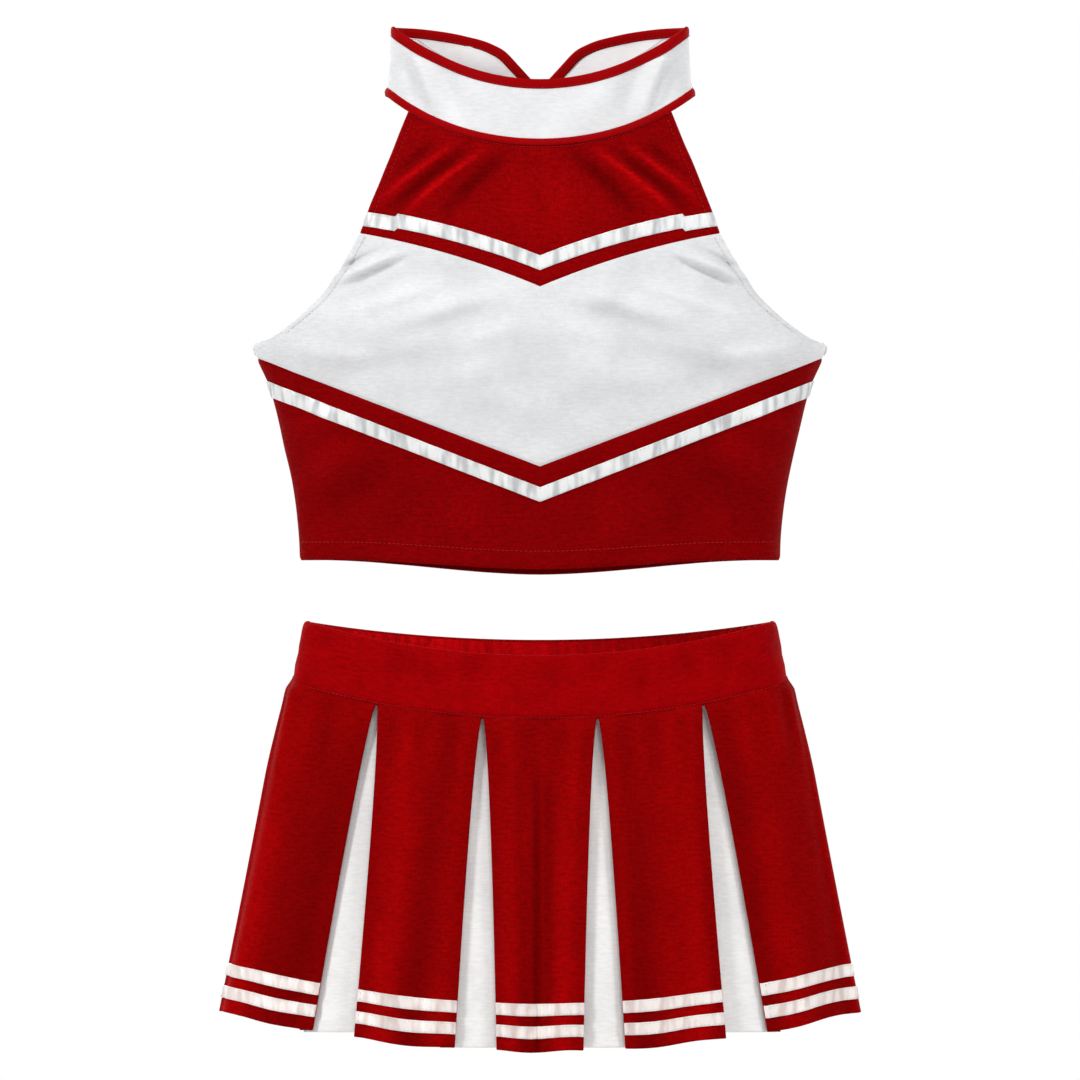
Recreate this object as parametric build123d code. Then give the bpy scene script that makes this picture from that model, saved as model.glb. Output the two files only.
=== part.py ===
from build123d import *

import os

# Two-piece cheer uniform: a halter crop top over a pleated skirt, held as on a slim body.
#
# Millimetres, +Z up. The front faces -Y and "left" means -X. The origin is the middle of the
# waist opening, level with the front of the waistband. Cloth pieces are thin closed shells cut
# from oval forms, one for the top, one for the waistband and one for the pleats.

# ---------------------------------------------------------------- cloth and trims
CLOTH = 1.2  # thickness of one layer
GAP = 0.1  # air between layers that lie on each other
RIBBON_THICK = 0.5
TOP_RIBBON = 10.0  # ribbon widths, measured up the garment
SKIRT_RIBBON = 8.5
BINDING = 7.0  # finished width of the collar's binding
BINDING_THICK = 0.9
REACH = 300.0  # cutting shapes run this far past the cloth, sideways
TALL = 900.0  # and this far up and down
TOP_REACH = 215.0  # seam and hem lines of the top are drawn out this far from the middle
YOKE_REACH = 145.0  # and those above the armpits this far
WAIST_REACH = 185.0
SKIRT_REACH = 245.0
SHAPE_MARGIN = 20.0  # cut shapes run this far above and below the piece that they cut
SEAM_ALLOWANCE = 8.0
SEAM_THICK = 1.8
SEAM_CLEAR = 0.3  # between a seam allowance and the layer outside it
LABEL_THICK = 0.5

# ---------------------------------------------------------------- forms: (height, half width, half depth)
TOP_FORM = [
    (50.0, 168.0, 47.0),
    (85.0, 169.0, 48.5),
    (120.0, 173.5, 50.5),
    (152.0, 180.5, 53.0),
    (186.0, 189.0, 56.0),
    (217.0, 200.0, 58.0),
    (266.0, 168.0, 52.0),
    (313.0, 144.0, 44.0),
    (361.0, 118.0, 34.0),
    (392.0, 107.5, 30.5),
    (442.0, 103.0, 29.0),
]
ARMPIT_LEVEL = 217.0
WAIST_FORM = [(-50.0, 175.5, 46.0), (26.0, 164.5, 42.0)]
SKIRT_FORM = [(-280.0, 232.5, 81.0), (-15.0, 176.5, 46.0)]

# ---------------------------------------------------------------- top
TOP_HEM_SIDE, TOP_HEM_FRONT, TOP_HEM_BACK = 66.5, 59.5, 56.5
TOP_HEM_TURN = 14.0
ARMPIT = (197.4, 218.4)  # half width and height of the armpit corner
ARMHOLE_MIDDLE = (158.2, 245.7)
ARMHOLE_END = (126.7, 293.4)  # where the armhole's curve becomes a straight edge
NECK_CORNER = (91.0, 382.2)
ARMHOLE_TURN = 7.0
BACK_TOP_MIDDLE = 206.0
BACK_BAND = 7.0
TOP_SEAM_END = 16.0  # from the armpit down to the side seam's end
TOP_LABEL, TOP_LABEL_PLACE = (24.0, 36.0), (-152.0, 1.6, 108.0)
# A V seam rises from its middle by slope * x - droop * x * x.
UPPER_VEE = (257.6, 0.42, 0.00098)
LOWER_VEE = (131.9, 0.382, 0.0)
UPPER_RIBBON_VEE = (269.2, 0.40, 0.00105)
LOWER_RIBBON_VEE = (107.2, 0.39, 0.0)

# ---------------------------------------------------------------- collar
COLLAR_TIP = 103.0  # half width of the collar's top edge
COLLAR_TOP_SIDE, COLLAR_TOP_FRONT = 439.4, 402.8
COLLAR_FOOT_SIDE, COLLAR_FOOT_FRONT = 396.3, 361.2
COLLAR_FOOT_HALF = 107.0
COLLAR_REACH = 125.0  # its curves are drawn this far out, past its sides
COLLAR_PIPING = 5.0
COLLAR_BACK_SHOULDER = (50.0, 433.5)  # where the back half's top edge turns down
COLLAR_BACK_NECK = (15.0, 413.0)
COLLAR_BACK_TOP, COLLAR_BACK_FOOT = 399.0, 379.0  # the back half's end, at the closure
COLLAR_FOOT_BACK_SIDE = 391.0
CLOSURE_GAP = 1.5  # half the gap between the two back ends
HINGE_GAP = 1.5  # from the plane of the collar's sides to each half
CLOSURE_TAPE = (10.0, 9.0)  # hook or loop tape, long and high
CLOSURE_TAB = (40.0, 12.0)
TAPE_THICK = 0.8
TAPE_FROM_END, TAB_PAST_TAPE, TAB_FOOT_CLEAR = 2.0, 2.0, 4.0
PIPING_THICK = 1.4

# ---------------------------------------------------------------- skirt
WAIST_HALF, WAIST_SIDE, WAIST_FRONT, WAIST_BACK = 165.0, 23.1, 0.0, 10.5
SEAM_HALF, SEAM_SIDE, SEAM_FRONT, SEAM_BACK = 177.0, -17.5, -44.0, -38.0
HEM_HALF, HEM_SIDE, HEM_FRONT = 224.0, -248.5, -276.5
ELASTIC_THICK, ELASTIC_MARGIN = 1.4, 4.0
PLEAT_DROP = 1.5  # slot under the waistband in which a pleat's top turns
PLEAT_TOP_EDGES = [-177.0, -114.5, -40.3, 40.3, 114.5, 177.0]  # a pair of pleats meets at each
PLEAT_HEM_EDGES = [(-240.0, -158.9), (-130.2, -59.5), (-30.5, 30.5), (59.5, 130.2), (158.9, 240.0)]
PLEAT_TOP_LEVEL = -36.0  # the height at which the top edges are given
PLEAT_TOP_SLOT = 0.6  # half the slot between two pleats at the waist seam
SIDE_OPENING = 14.0  # half the opening between front and back pleats at the side, at the hem
INSERT_INSET = 2.3  # from the pleats' outer face to the inserts' outer face
INSERT_THICK = 0.9
INSERT_UNDERLAP = 17.0  # how far an insert runs behind each pleat, at the hem
INSERT_TOP_HALF = 6.0
SIDE_UNDERLAP = 30.0
SIDE_APEX = 0.4  # half the side opening above the waist seam
OUTER_PLEAT_SPARE = 20.0  # the outermost pleats are cut this much wider, round to the side opening
INSERT_HEM_LIFT = 1.0
SKIRT_LABEL, SKIRT_LABEL_PLACE = (20.0, 36.0), (-147.0, 1.6, -22.0)
RIBBON_HEIGHTS = (9.5, 25.5)  # each ribbon's lower edge above the hem


def oval_form(stations, grow=0.0):
    """The solid inside an oval form, grown sideways."""
    return loft([Plane.XY.offset(z) * Ellipse(a + grow, b + grow) for z, a, b in stations], ruled=True)


def layer(stations, outer, inner):
    """The shell between two offsets of a form."""
    return oval_form(stations, outer) - oval_form(stations, inner)


def curve_through(a, b, c):
    """A gentle arc through three points, or a straight line where they are in line."""
    a, b, c = Vector(*a), Vector(*b), Vector(*c)
    turn = (b - a).cross(c - a).Z
    return Line(a, c) if abs(turn) < 1e-6 else ThreePointArc(a, b, c)


def closed_shape(*lines):
    """The face inside lines that follow each other, closed by straight lines where they stop short."""
    wires = []
    for i, line in enumerate(lines):
        wires.append(line)
        end, start = line @ 1, lines[(i + 1) % len(lines)] @ 0
        if (end - start).length > 1e-6:
            wires.append(Line(end, start))
    return make_face(wires)


def sag_line(half, side, middle, reach):
    """A level line that sags to `middle` and is `side` high at +-half, drawn out to +-reach."""
    at_reach = middle + (side - middle) * (reach / half) ** 2
    return curve_through((-reach, at_reach), (0.0, middle), (reach, at_reach))


def vee_height(vee, x):
    low, slope, droop = vee
    return low + slope * x - droop * x * x


def vee_lines(vee, reach, lift=0.0):
    """The two halves of a V seam, from left to right."""
    middle, end = vee_height(vee, reach / 2) + lift, vee_height(vee, reach) + lift
    left = curve_through((-reach, end), (-reach / 2, middle), (0.0, vee[0] + lift))
    right = curve_through((0.0, vee[0] + lift), (reach / 2, middle), (reach, end))
    return left, right


def reverse(line):
    """The same line, drawn the other way."""
    return curve_through(line @ 1, line @ 0.5, line @ 0)


def in_front(shape):
    """A prism that cuts a front piece to an outline drawn in X and Z."""
    return extrude(Plane.XZ * shape, amount=REACH)


def behind(shape):
    return extrude(Plane.XZ * shape, amount=-REACH)


def area_between(low, high):
    """The face between two lists of lines, both drawn from left to right."""
    return closed_shape(*low, *[reverse(line) for line in reversed(high)])


def only(part):
    """A plain compound of the part's solids."""
    return Compound(children=list(part.solids())) if len(part.solids()) > 1 else part.solids()[0]


# ---------------------------------------------------------------- shared shells
top_cloth = layer(TOP_FORM, 0, -CLOTH)
top_inside = layer(TOP_FORM, -CLOTH, -2 * CLOTH)
top_ribbon_layer = layer(TOP_FORM, GAP + RIBBON_THICK, GAP)
binding_outside = layer(TOP_FORM, GAP + BINDING_THICK, -CLOTH - GAP - BINDING_THICK)
binding_hollow = layer(TOP_FORM, GAP, -CLOTH - GAP)
pleat_cloth = layer(SKIRT_FORM, 0, -CLOTH)
skirt_ribbon_layer = layer(SKIRT_FORM, GAP + RIBBON_THICK, GAP)
insert_cloth = layer(SKIRT_FORM, -INSERT_INSET, -INSERT_INSET - INSERT_THICK)


def armhole_outline(turn_in=0.0):
    """The top's front above the armpits, its edges moved in by `turn_in`."""
    moved = [(x - turn_in, z) for x, z in (ARMPIT, ARMHOLE_MIDDLE, ARMHOLE_END, NECK_CORNER)]
    armpit, middle, end, corner = moved
    slope = (corner[0] - end[0]) / (corner[1] - end[1])
    tip = (corner[0] + slope * SHAPE_MARGIN, corner[1] + SHAPE_MARGIN)

    def flip(p):
        return (-p[0], p[1])

    below = (REACH, armpit[1])
    return closed_shape(
        Line((-REACH, 0.0), (REACH, 0.0)),
        Line(below, armpit),
        ThreePointArc(armpit, middle, end),
        Line(end, tip),
        Line(flip(tip), flip(end)),
        ThreePointArc(flip(end), flip(middle), flip(armpit)),
        Line(flip(armpit), flip(below)),
    )


def top_hem(middle, lift=0.0):
    return [sag_line(TOP_FORM[0][1], TOP_HEM_SIDE + lift, middle + lift, TOP_REACH)]


def top_front_panels():
    """Yoke, middle panel and lower panel of the front, with the lower panel's turned hem."""
    outline = armhole_outline()
    foot = [sag_line(COLLAR_FOOT_HALF, COLLAR_FOOT_SIDE, COLLAR_FOOT_FRONT, COLLAR_REACH)]
    hem, turn = top_hem(TOP_HEM_FRONT), top_hem(TOP_HEM_FRONT, TOP_HEM_TURN)
    upper, lower = vee_lines(UPPER_VEE, YOKE_REACH), vee_lines(LOWER_VEE, TOP_REACH)
    yoke = top_cloth & in_front(area_between(upper, foot) & outline)
    middle = top_cloth & in_front(area_between(lower, upper) & outline)
    below = top_cloth & in_front(area_between(hem, lower))
    turned = top_inside & in_front(area_between(hem, turn))
    return {"front_yoke": yoke, "front_middle_panel": middle, "front_lower_panel": below + turned}


def top_back_panels():
    """The low back: middle panel and lower panel, and the band along its top edge."""

    def edge_below(by):
        return [sag_line(ARMPIT[0], ARMPIT_LEVEL - by, BACK_TOP_MIDDLE - by, TOP_REACH)]

    edge, cloth_edge = edge_below(0), edge_below(GAP + BINDING_THICK)
    band_foot, cap_foot = edge_below(BACK_BAND), edge_below(BINDING_THICK)
    hem, turn = top_hem(TOP_HEM_BACK), top_hem(TOP_HEM_BACK, TOP_HEM_TURN)
    lower = vee_lines(LOWER_VEE, TOP_REACH)
    middle = top_cloth & behind(area_between(lower, cloth_edge))
    below = top_cloth & behind(area_between(hem, lower))
    turned = top_inside & behind(area_between(hem, turn))
    band = binding_outside & behind(area_between(band_foot, edge))
    band -= binding_hollow & behind(area_between(band_foot, cap_foot))
    return {"back_middle_panel": middle, "back_lower_panel": below + turned, "back_top_band": band}


def top_ribbons():
    """Three satin ribbons in V shape, stitched on the red panels."""
    outline = armhole_outline()

    def chevron(vee, reach):
        return area_between(vee_lines(vee, reach), vee_lines(vee, reach, TOP_RIBBON))

    upper = chevron(UPPER_RIBBON_VEE, YOKE_REACH) & outline
    lower = chevron(LOWER_RIBBON_VEE, TOP_REACH)
    return {
        "front_upper_ribbon": top_ribbon_layer & in_front(upper),
        "front_lower_ribbon": top_ribbon_layer & in_front(lower),
        "back_ribbon": top_ribbon_layer & behind(lower),
    }


def armhole_hems():
    """The turned-in edge of each armhole, a second layer inside the front."""
    foot = [sag_line(COLLAR_FOOT_HALF, COLLAR_FOOT_SIDE, COLLAR_FOOT_FRONT, COLLAR_REACH)]
    armpit_line = [Line((-REACH, ARMPIT[1]), (REACH, ARMPIT[1]))]
    strip = (armhole_outline() - armhole_outline(ARMHOLE_TURN)) & area_between(armpit_line, foot)
    both = top_inside & in_front(strip)
    halves = {"left": Box(REACH, REACH, TALL, align=(Align.MAX, Align.CENTER, Align.CENTER)),
              "right": Box(REACH, REACH, TALL, align=(Align.MIN, Align.CENTER, Align.CENTER))}
    return {f"armhole_hem_{side}": both & half for side, half in halves.items()}


def seam_strips(form, inset, low, high):
    """Seam allowances standing inward at both sides, as {side: solid}."""
    fold = oval_form(form, -inset) - oval_form(form, -inset - SEAM_ALLOWANCE)
    found = {}
    for side, align in (("left", Align.MAX), ("right", Align.MIN)):
        cut = Box(REACH, SEAM_THICK, high - low, align=(align, Align.CENTER, Align.MIN))
        found[side] = fold & (Pos(0, 0, low) * cut)
    return found


def top_seams_and_label():
    strips = seam_strips(TOP_FORM, 2 * CLOTH + SEAM_CLEAR, TOP_HEM_SIDE + 4, ARMPIT[1] - TOP_SEAM_END)
    label = Pos(*TOP_LABEL_PLACE) * Box(TOP_LABEL[0], LABEL_THICK, TOP_LABEL[1])
    return {"top_side_seam_left": strips["left"], "top_side_seam_right": strips["right"],
            "top_label": label}


# ---------------------------------------------------------------- collar
def collar_front():
    """The collar's front band with its top binding and the piping over the yoke seam."""
    top = [sag_line(COLLAR_TIP, COLLAR_TOP_SIDE, COLLAR_TOP_FRONT, COLLAR_REACH)]
    foot = [sag_line(COLLAR_FOOT_HALF, COLLAR_FOOT_SIDE, COLLAR_FOOT_FRONT, COLLAR_REACH)]

    def lowered(line, by):
        return [Pos(0, -by, 0) * line[0]]

    sides = Pos(0, -HINGE_GAP, 0) * Box(TALL, REACH, TALL, align=(Align.CENTER, Align.MAX, Align.CENTER))
    cloth = top_cloth & in_front(area_between(foot, lowered(top, GAP + BINDING_THICK))) & sides
    binding = binding_outside & in_front(area_between(lowered(top, BINDING), top)) & sides
    binding -= binding_hollow & in_front(area_between(lowered(top, BINDING), lowered(top, BINDING_THICK)))
    piping_shape = area_between(lowered(foot, COLLAR_PIPING), foot)
    piping = layer(TOP_FORM, GAP + PIPING_THICK, GAP) & in_front(piping_shape)
    return {"collar_front": cloth, "collar_front_binding": binding, "collar_front_piping": piping & sides}


def collar_back_outline(inset=0.0):
    """The left back half of the collar, its edges moved in by `inset`; it runs past the collar's side."""
    past = -COLLAR_REACH
    foot = COLLAR_FOOT_BACK_SIDE + inset
    end = -CLOSURE_GAP - inset
    foot_end = (end, COLLAR_BACK_FOOT + inset)
    middle_foot = (COLLAR_FOOT_BACK_SIDE + COLLAR_BACK_FOOT) / 2 - 2.0 + inset
    side_top = (-COLLAR_TIP, COLLAR_TOP_SIDE - inset)
    shoulder = (-COLLAR_BACK_SHOULDER[0] - 0.2 * inset, COLLAR_BACK_SHOULDER[1] - inset)
    neck = (-COLLAR_BACK_NECK[0] - 0.8 * inset, COLLAR_BACK_NECK[1] - 0.7 * inset)
    notch = (end, COLLAR_BACK_TOP - 1.2 * inset)
    return closed_shape(
        Line((past, foot), (-COLLAR_FOOT_HALF, foot)),
        ThreePointArc((-COLLAR_FOOT_HALF, foot), (-COLLAR_FOOT_HALF / 2, middle_foot), foot_end),
        Line(foot_end, notch),
        Spline(notch, neck, shoulder, side_top),
        Line(side_top, (past, side_top[1])),
    )


def collar_back():
    """The two back halves with their bindings, and the tab and tapes that close them."""
    whole = collar_back_outline()
    hollow = collar_back_outline(BINDING_THICK)
    inner = collar_back_outline(BINDING)
    cloth_shape = collar_back_outline(BINDING_THICK + GAP)
    sides = Pos(0, HINGE_GAP, 0) * Box(TALL, REACH, TALL, align=(Align.CENTER, Align.MIN, Align.CENTER))
    cloth = top_cloth & behind(cloth_shape) & sides
    binding = (binding_outside & behind(whole - inner)) - (binding_hollow & behind(hollow))
    binding &= sides
    middle = (COLLAR_BACK_TOP + COLLAR_BACK_FOOT) / 2

    def patch(outer, inner_face, low_x, high_x, height):
        """A strip across the back, between two offsets of the form."""
        cut = Rectangle(high_x - low_x, height, align=(Align.MIN, Align.CENTER))
        return layer(TOP_FORM, outer, inner_face) & behind(Pos(low_x, middle) * cut)

    on_binding = 2 * GAP + BINDING_THICK
    loop_face = on_binding + TAPE_THICK
    hook_face = loop_face + 2 * GAP + TAPE_THICK
    tape_long, tape_high = CLOSURE_TAPE
    tab_long, tab_high = CLOSURE_TAB
    tape_x = CLOSURE_GAP + TAPE_FROM_END
    loop_tape = patch(loop_face, on_binding, tape_x, tape_x + tape_long, tape_high)
    hook_tape = patch(hook_face, loop_face + 2 * GAP, tape_x, tape_x + tape_long, tape_high)
    tab_end = tape_x + tape_long + TAB_PAST_TAPE
    tab = patch(hook_face + GAP + CLOTH, hook_face + GAP, tab_end - tab_long, tab_end, tab_high)
    tab_foot = patch(hook_face + GAP, on_binding, tab_end - tab_long, -CLOSURE_GAP - TAB_FOOT_CLEAR, tab_high)
    return {
        "collar_left": cloth,
        "collar_left_binding": binding,
        "closure_tab": tab + tab_foot,
        "hook_tape": hook_tape,
        "collar_right": mirror(cloth, Plane.YZ),
        "collar_right_binding": mirror(binding, Plane.YZ),
        "loop_tape": loop_tape,
    }


# ---------------------------------------------------------------- skirt
def waistband():
    """Front and back of the folded waistband, and the elastic loop inside it."""
    parts, elastic = {}, None
    inner_face = CLOTH + ELASTIC_THICK + 2 * GAP
    shells = {
        "outer": layer(WAIST_FORM, 0, -CLOTH),
        "inner": layer(WAIST_FORM, -inner_face, -inner_face - CLOTH),
        "fold": layer(WAIST_FORM, 0, -inner_face - CLOTH),
        "elastic": layer(WAIST_FORM, -CLOTH - GAP, -CLOTH - GAP - ELASTIC_THICK),
    }
    for name, prism, top, seam in (("front", in_front, WAIST_FRONT, SEAM_FRONT),
                                   ("back", behind, WAIST_BACK, SEAM_BACK)):
        def level(half, side, middle, lift):
            return [sag_line(half, side + lift, middle + lift, WAIST_REACH)]

        edge = level(WAIST_HALF, WAIST_SIDE, top, 0)
        foot = level(SEAM_HALF, SEAM_SIDE, seam, 0)
        body = prism(area_between(foot, edge))
        cap = prism(area_between(level(WAIST_HALF, WAIST_SIDE, top, -CLOTH), edge))
        layers = (shells["outer"] & body) + (shells["inner"] & body)
        parts[f"waistband_{name}"] = layers + (shells["fold"] & cap)
        half_loop = shells["elastic"] & prism(area_between(
            level(SEAM_HALF, SEAM_SIDE, seam, ELASTIC_MARGIN),
            level(WAIST_HALF, WAIST_SIDE, top, -ELASTIC_MARGIN)))
        elastic = half_loop if elastic is None else elastic + half_loop
    parts["waistband_elastic"] = elastic
    strips = seam_strips(WAIST_FORM, inner_face + CLOTH + SEAM_CLEAR, SEAM_SIDE + 2, WAIST_SIDE - 4)
    parts["waistband_side_seams"] = strips["left"] + strips["right"]
    parts["skirt_label"] = Pos(*SKIRT_LABEL_PLACE) * Box(SKIRT_LABEL[0], LABEL_THICK, SKIRT_LABEL[1])
    return parts


def hem_line(lift=0.0):
    return [sag_line(HEM_HALF, HEM_SIDE + lift, HEM_FRONT + lift, SKIRT_REACH)]


def seam_line(middle, lift=0.0):
    return [sag_line(SEAM_HALF, SEAM_SIDE + lift, middle + lift, SKIRT_REACH)]


def side_wedge(half_open, length):
    """Cuts the side opening: a wedge across X, closed at the waist seam, half_open at the hem."""
    high, low = SEAM_SIDE + SHAPE_MARGIN, HEM_SIDE - 2 * SHAPE_MARGIN
    wedge = closed_shape(Line((-SIDE_APEX, high), (-half_open, low)),
                         Line((half_open, low), (SIDE_APEX, high)))
    return extrude(Plane.YZ * wedge, amount=length, both=True)


def quad(top_left, top_right, hem_left, hem_right):
    """A four-sided cut through a pleat's corners, drawn out above the waist seam and below the hem."""
    high, low = SEAM_SIDE + SHAPE_MARGIN, HEM_FRONT - SHAPE_MARGIN

    def edge(top, hem, z):
        return (top + (hem - top) * (PLEAT_TOP_LEVEL - z) / (PLEAT_TOP_LEVEL - HEM_FRONT), z)

    return make_face(Polyline(edge(top_left, hem_left, high), edge(top_right, hem_right, high),
                              edge(top_right, hem_right, low), edge(top_left, hem_left, low), close=True))


def pleats():
    """Ten red pleats with two ribbons each, five on the front and five on the back, left to right."""
    parts = {}
    opening = side_wedge(SIDE_OPENING, REACH)
    for face, prism, seam in (("front", in_front, SEAM_FRONT), ("back", behind, SEAM_BACK)):
        for i, (hem_left, hem_right) in enumerate(PLEAT_HEM_EDGES):
            cut = quad(PLEAT_TOP_EDGES[i] + PLEAT_TOP_SLOT - OUTER_PLEAT_SPARE * (i == 0),
                       PLEAT_TOP_EDGES[i + 1] - PLEAT_TOP_SLOT + OUTER_PLEAT_SPARE * (i == 4),
                       hem_left, hem_right)
            shape = cut & area_between(hem_line(), seam_line(seam, -PLEAT_DROP))
            parts[f"{face}_pleat_{i + 1}"] = (pleat_cloth & prism(shape)) - opening
            bands = [cut & area_between(hem_line(h), hem_line(h + SKIRT_RIBBON)) for h in RIBBON_HEIGHTS]
            ribbons = [(skirt_ribbon_layer & prism(band)) - opening for band in bands]
            parts[f"{face}_pleat_{i + 1}_ribbons"] = ribbons[0] + ribbons[1]
    return parts


def inserts():
    """White pleat inserts: four behind the front's openings, four behind the back's, one at each side."""
    parts = {}
    for face, prism, seam in (("front", in_front, SEAM_FRONT), ("back", behind, SEAM_BACK)):
        for i in range(4):
            apex = PLEAT_TOP_EDGES[i + 1]
            hem_left, hem_right = PLEAT_HEM_EDGES[i][1], PLEAT_HEM_EDGES[i + 1][0]
            cut = quad(apex - INSERT_TOP_HALF, apex + INSERT_TOP_HALF,
                       hem_left - INSERT_UNDERLAP, hem_right + INSERT_UNDERLAP)
            shape = cut & area_between(hem_line(INSERT_HEM_LIFT), seam_line(seam, -PLEAT_DROP))
            parts[f"{face}_insert_{i + 1}"] = insert_cloth & prism(shape)
    wedge = side_wedge(SIDE_OPENING + SIDE_UNDERLAP, REACH)
    for side, align in (("left", Align.MAX), ("right", Align.MIN)):
        half = Box(REACH, REACH, TALL, align=(align, Align.CENTER, Align.CENTER))
        found = insert_cloth & wedge & half
        low = area_between(hem_line(INSERT_HEM_LIFT), seam_line(SEAM_FRONT, -PLEAT_DROP))
        parts[f"side_insert_{side}"] = found & extrude(Plane.XZ * low, amount=REACH, both=True)
    return parts


def main():
    parts = {}
    for group in (top_front_panels, top_back_panels, top_ribbons, armhole_hems,
                  top_seams_and_label, collar_front, collar_back, waistband, pleats, inserts):
        parts.update(group())
    os.makedirs("parts", exist_ok=True)
    for name, part in parts.items():
        export_step(only(part), f"parts/{name}.step")
    print(len(parts), "parts")


if __name__ == "__main__":
    main()
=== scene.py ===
"""The looks of a two-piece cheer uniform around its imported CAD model: a halter top over a pleated skirt.

Lengths are millimetres in the model's frame (+Z up, the front faces -Y) until `add_mesh` writes metres.
Every cloth piece is a grid of points on one of three oval forms. Its columns run to the right as seen from
outside and its rows run up, so that the grid's outer face looks away from the form.
"""

import math

import bpy
import numpy as np
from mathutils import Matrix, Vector


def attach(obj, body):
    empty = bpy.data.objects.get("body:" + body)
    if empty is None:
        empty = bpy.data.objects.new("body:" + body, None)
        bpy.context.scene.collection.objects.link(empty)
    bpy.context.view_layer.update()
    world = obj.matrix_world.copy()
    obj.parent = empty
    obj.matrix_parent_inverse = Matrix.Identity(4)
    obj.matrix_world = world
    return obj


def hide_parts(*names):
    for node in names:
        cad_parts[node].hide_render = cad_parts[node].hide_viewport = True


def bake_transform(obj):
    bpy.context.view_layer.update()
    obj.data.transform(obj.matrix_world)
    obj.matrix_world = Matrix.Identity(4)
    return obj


MM = 0.001
QUARTER = math.pi / 2
MIDDLE = {"front": 0.0, "back": math.pi}
CLOTH, INSERT_CLOTH, RIBBON_CLOTH = 1.2, 0.9, 0.45

# Oval forms: height, half width and half depth.
TOP_STATIONS = [
    (50, 168, 47), (85, 169, 48.5), (120, 173.5, 50.5), (152, 180.5, 53), (186, 189, 56), (217, 200, 58),
    (266, 168, 52), (313, 144, 44), (361, 118, 34), (392, 107.5, 30.5), (442, 103, 29),
]
WAIST_STATIONS = [(-50, 175.5, 46), (26, 164.5, 42)]
SKIRT_STATIONS = [(-280, 232.5, 81), (-15, 176.5, 46)]

# The armhole's edge: height and half width of the front.
ARMHOLE = [(218.4, 197.4), (220.5, 191.5), (229.7, 176.7), (245.7, 158.2), (266.7, 142.5), (293.4, 126.7),
           (315, 118.5), (382.2, 91), (398, 84.5)]
ARMPIT_LEVEL = 217.0
HEM_TURN, ARMHOLE_TURN, TOP_RIBBON = 14.0, 6.0, 10.0

# The collar's back half: distance from the closure along the back, and height of its top edge.
COLLAR_BACK_TOP = [(1.5, 398.5), (6, 403.2), (15, 413), (24.5, 422.8), (34, 428), (53, 433.5), (82, 438),
                   (114.5, 439.4)]
COLLAR_SIDE_RUN, CLOSURE_END = 114.0, 1.5
BINDING = 7.0

# Pleats: where two pleats meet at the waist seam, and the insert's edges at the hem.
PLEAT_TOPS = [-114.5, -40.3, 40.3, 114.5]
INSERT_HEMS = [(-158.9, -130.2), (-59.5, -30.5), (30.5, 59.5), (130.2, 158.9)]
SIDE_OPENING = 14.0
OPENING_POWER = 0.64
PLEAT_RADIUS, PLEAT_RETURN, INSERT_DEPTH = 1.5, 9.0, 4.9
SKIRT_RIBBON, RIBBON_HEIGHTS = 8.5, (9.5, 25.5)


# ---------------------------------------------------------------- curves and forms
def curve(points):
    """A smooth function through (x, y) points."""
    x, y = (np.array(c, float) for c in zip(*points))
    slope = np.gradient(y, x)

    def value(at):
        at = np.asarray(at, float)
        i = np.clip(np.searchsorted(x, at) - 1, 0, len(x) - 2)
        h = x[i + 1] - x[i]
        t = np.clip((at - x[i]) / h, 0, 1)
        rise = t * t * (3 - 2 * t)
        bend = t * (1 - t) * ((1 - t) * slope[i] - t * slope[i + 1]) * h
        return y[i] + (y[i + 1] - y[i]) * rise + bend

    return value


def ease(t):
    """0 below 0, 1 above 1, and smooth between."""
    t = np.clip(t, 0, 1)
    return t * t * (3 - 2 * t)


def bell(distance, width):
    return np.exp(-((distance / width) ** 2))


def sweep(count):
    """Angles from the left side to the right side."""
    return np.linspace(-QUARTER, QUARTER, count)


class Form:
    """An oval body. Angle 0 is the middle of the front, pi / 2 the right side, pi the middle of the back."""

    def __init__(self, stations):
        self.a = curve([(z, a) for z, a, b in stations])
        self.b = curve([(z, b) for z, a, b in stations])
        middle = stations[len(stations) // 2]
        self.turn = np.linspace(-math.pi, 2 * math.pi, 3001)
        pace = np.hypot(np.cos(self.turn), middle[2] / middle[1] * np.sin(self.turn))
        run = np.concatenate([[0], np.cumsum((pace[1:] + pace[:-1]) / 2 * np.diff(self.turn))])
        self.run = run - np.interp(0, self.turn, run)

    def at(self, phi, z, lift=0.0):
        """The point at an angle and height, lifted off the form."""
        a, b = self.a(z), self.b(z)
        s, c = np.sin(phi), np.cos(phi)
        out = np.sqrt((s / a) ** 2 + (c / b) ** 2)
        return np.stack([a * s + lift * s / a / out, -b * c - lift * c / b / out, z + 0 * s], axis=-1)

    def line(self, phi, z, lift, out=1):
        """A sewing line as `stitches` takes it: its points, and points 1 mm further out (in if out is -1)."""
        return self.at(phi, z, lift), self.at(phi, z, lift + out)

    def angle(self, x, z, back=False):
        phi = np.arcsin(np.clip(x / self.a(z), -1, 1))
        return math.pi - phi if back else phi

    def arc(self, phi, z):
        """Distance along the oval from the middle of the front."""
        return self.a(z) * np.interp(phi, self.turn, self.run)

    def angle_at(self, arc, z):
        return np.interp(arc / self.a(z), self.run, self.turn)

    def pace(self, phi, z):
        """Distance along the oval per radian."""
        return np.hypot(self.a(z) * np.cos(phi), self.b(z) * np.sin(phi))


TOP, WAIST, SKIRT = Form(TOP_STATIONS), Form(WAIST_STATIONS), Form(SKIRT_STATIONS)
armhole = curve(ARMHOLE)


def sag(half, side, middle):
    """An edge that is `middle` high at x = 0 and `side` high at +-half."""
    return lambda x: middle + (side - middle) * (np.asarray(x) / half) ** 2


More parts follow.
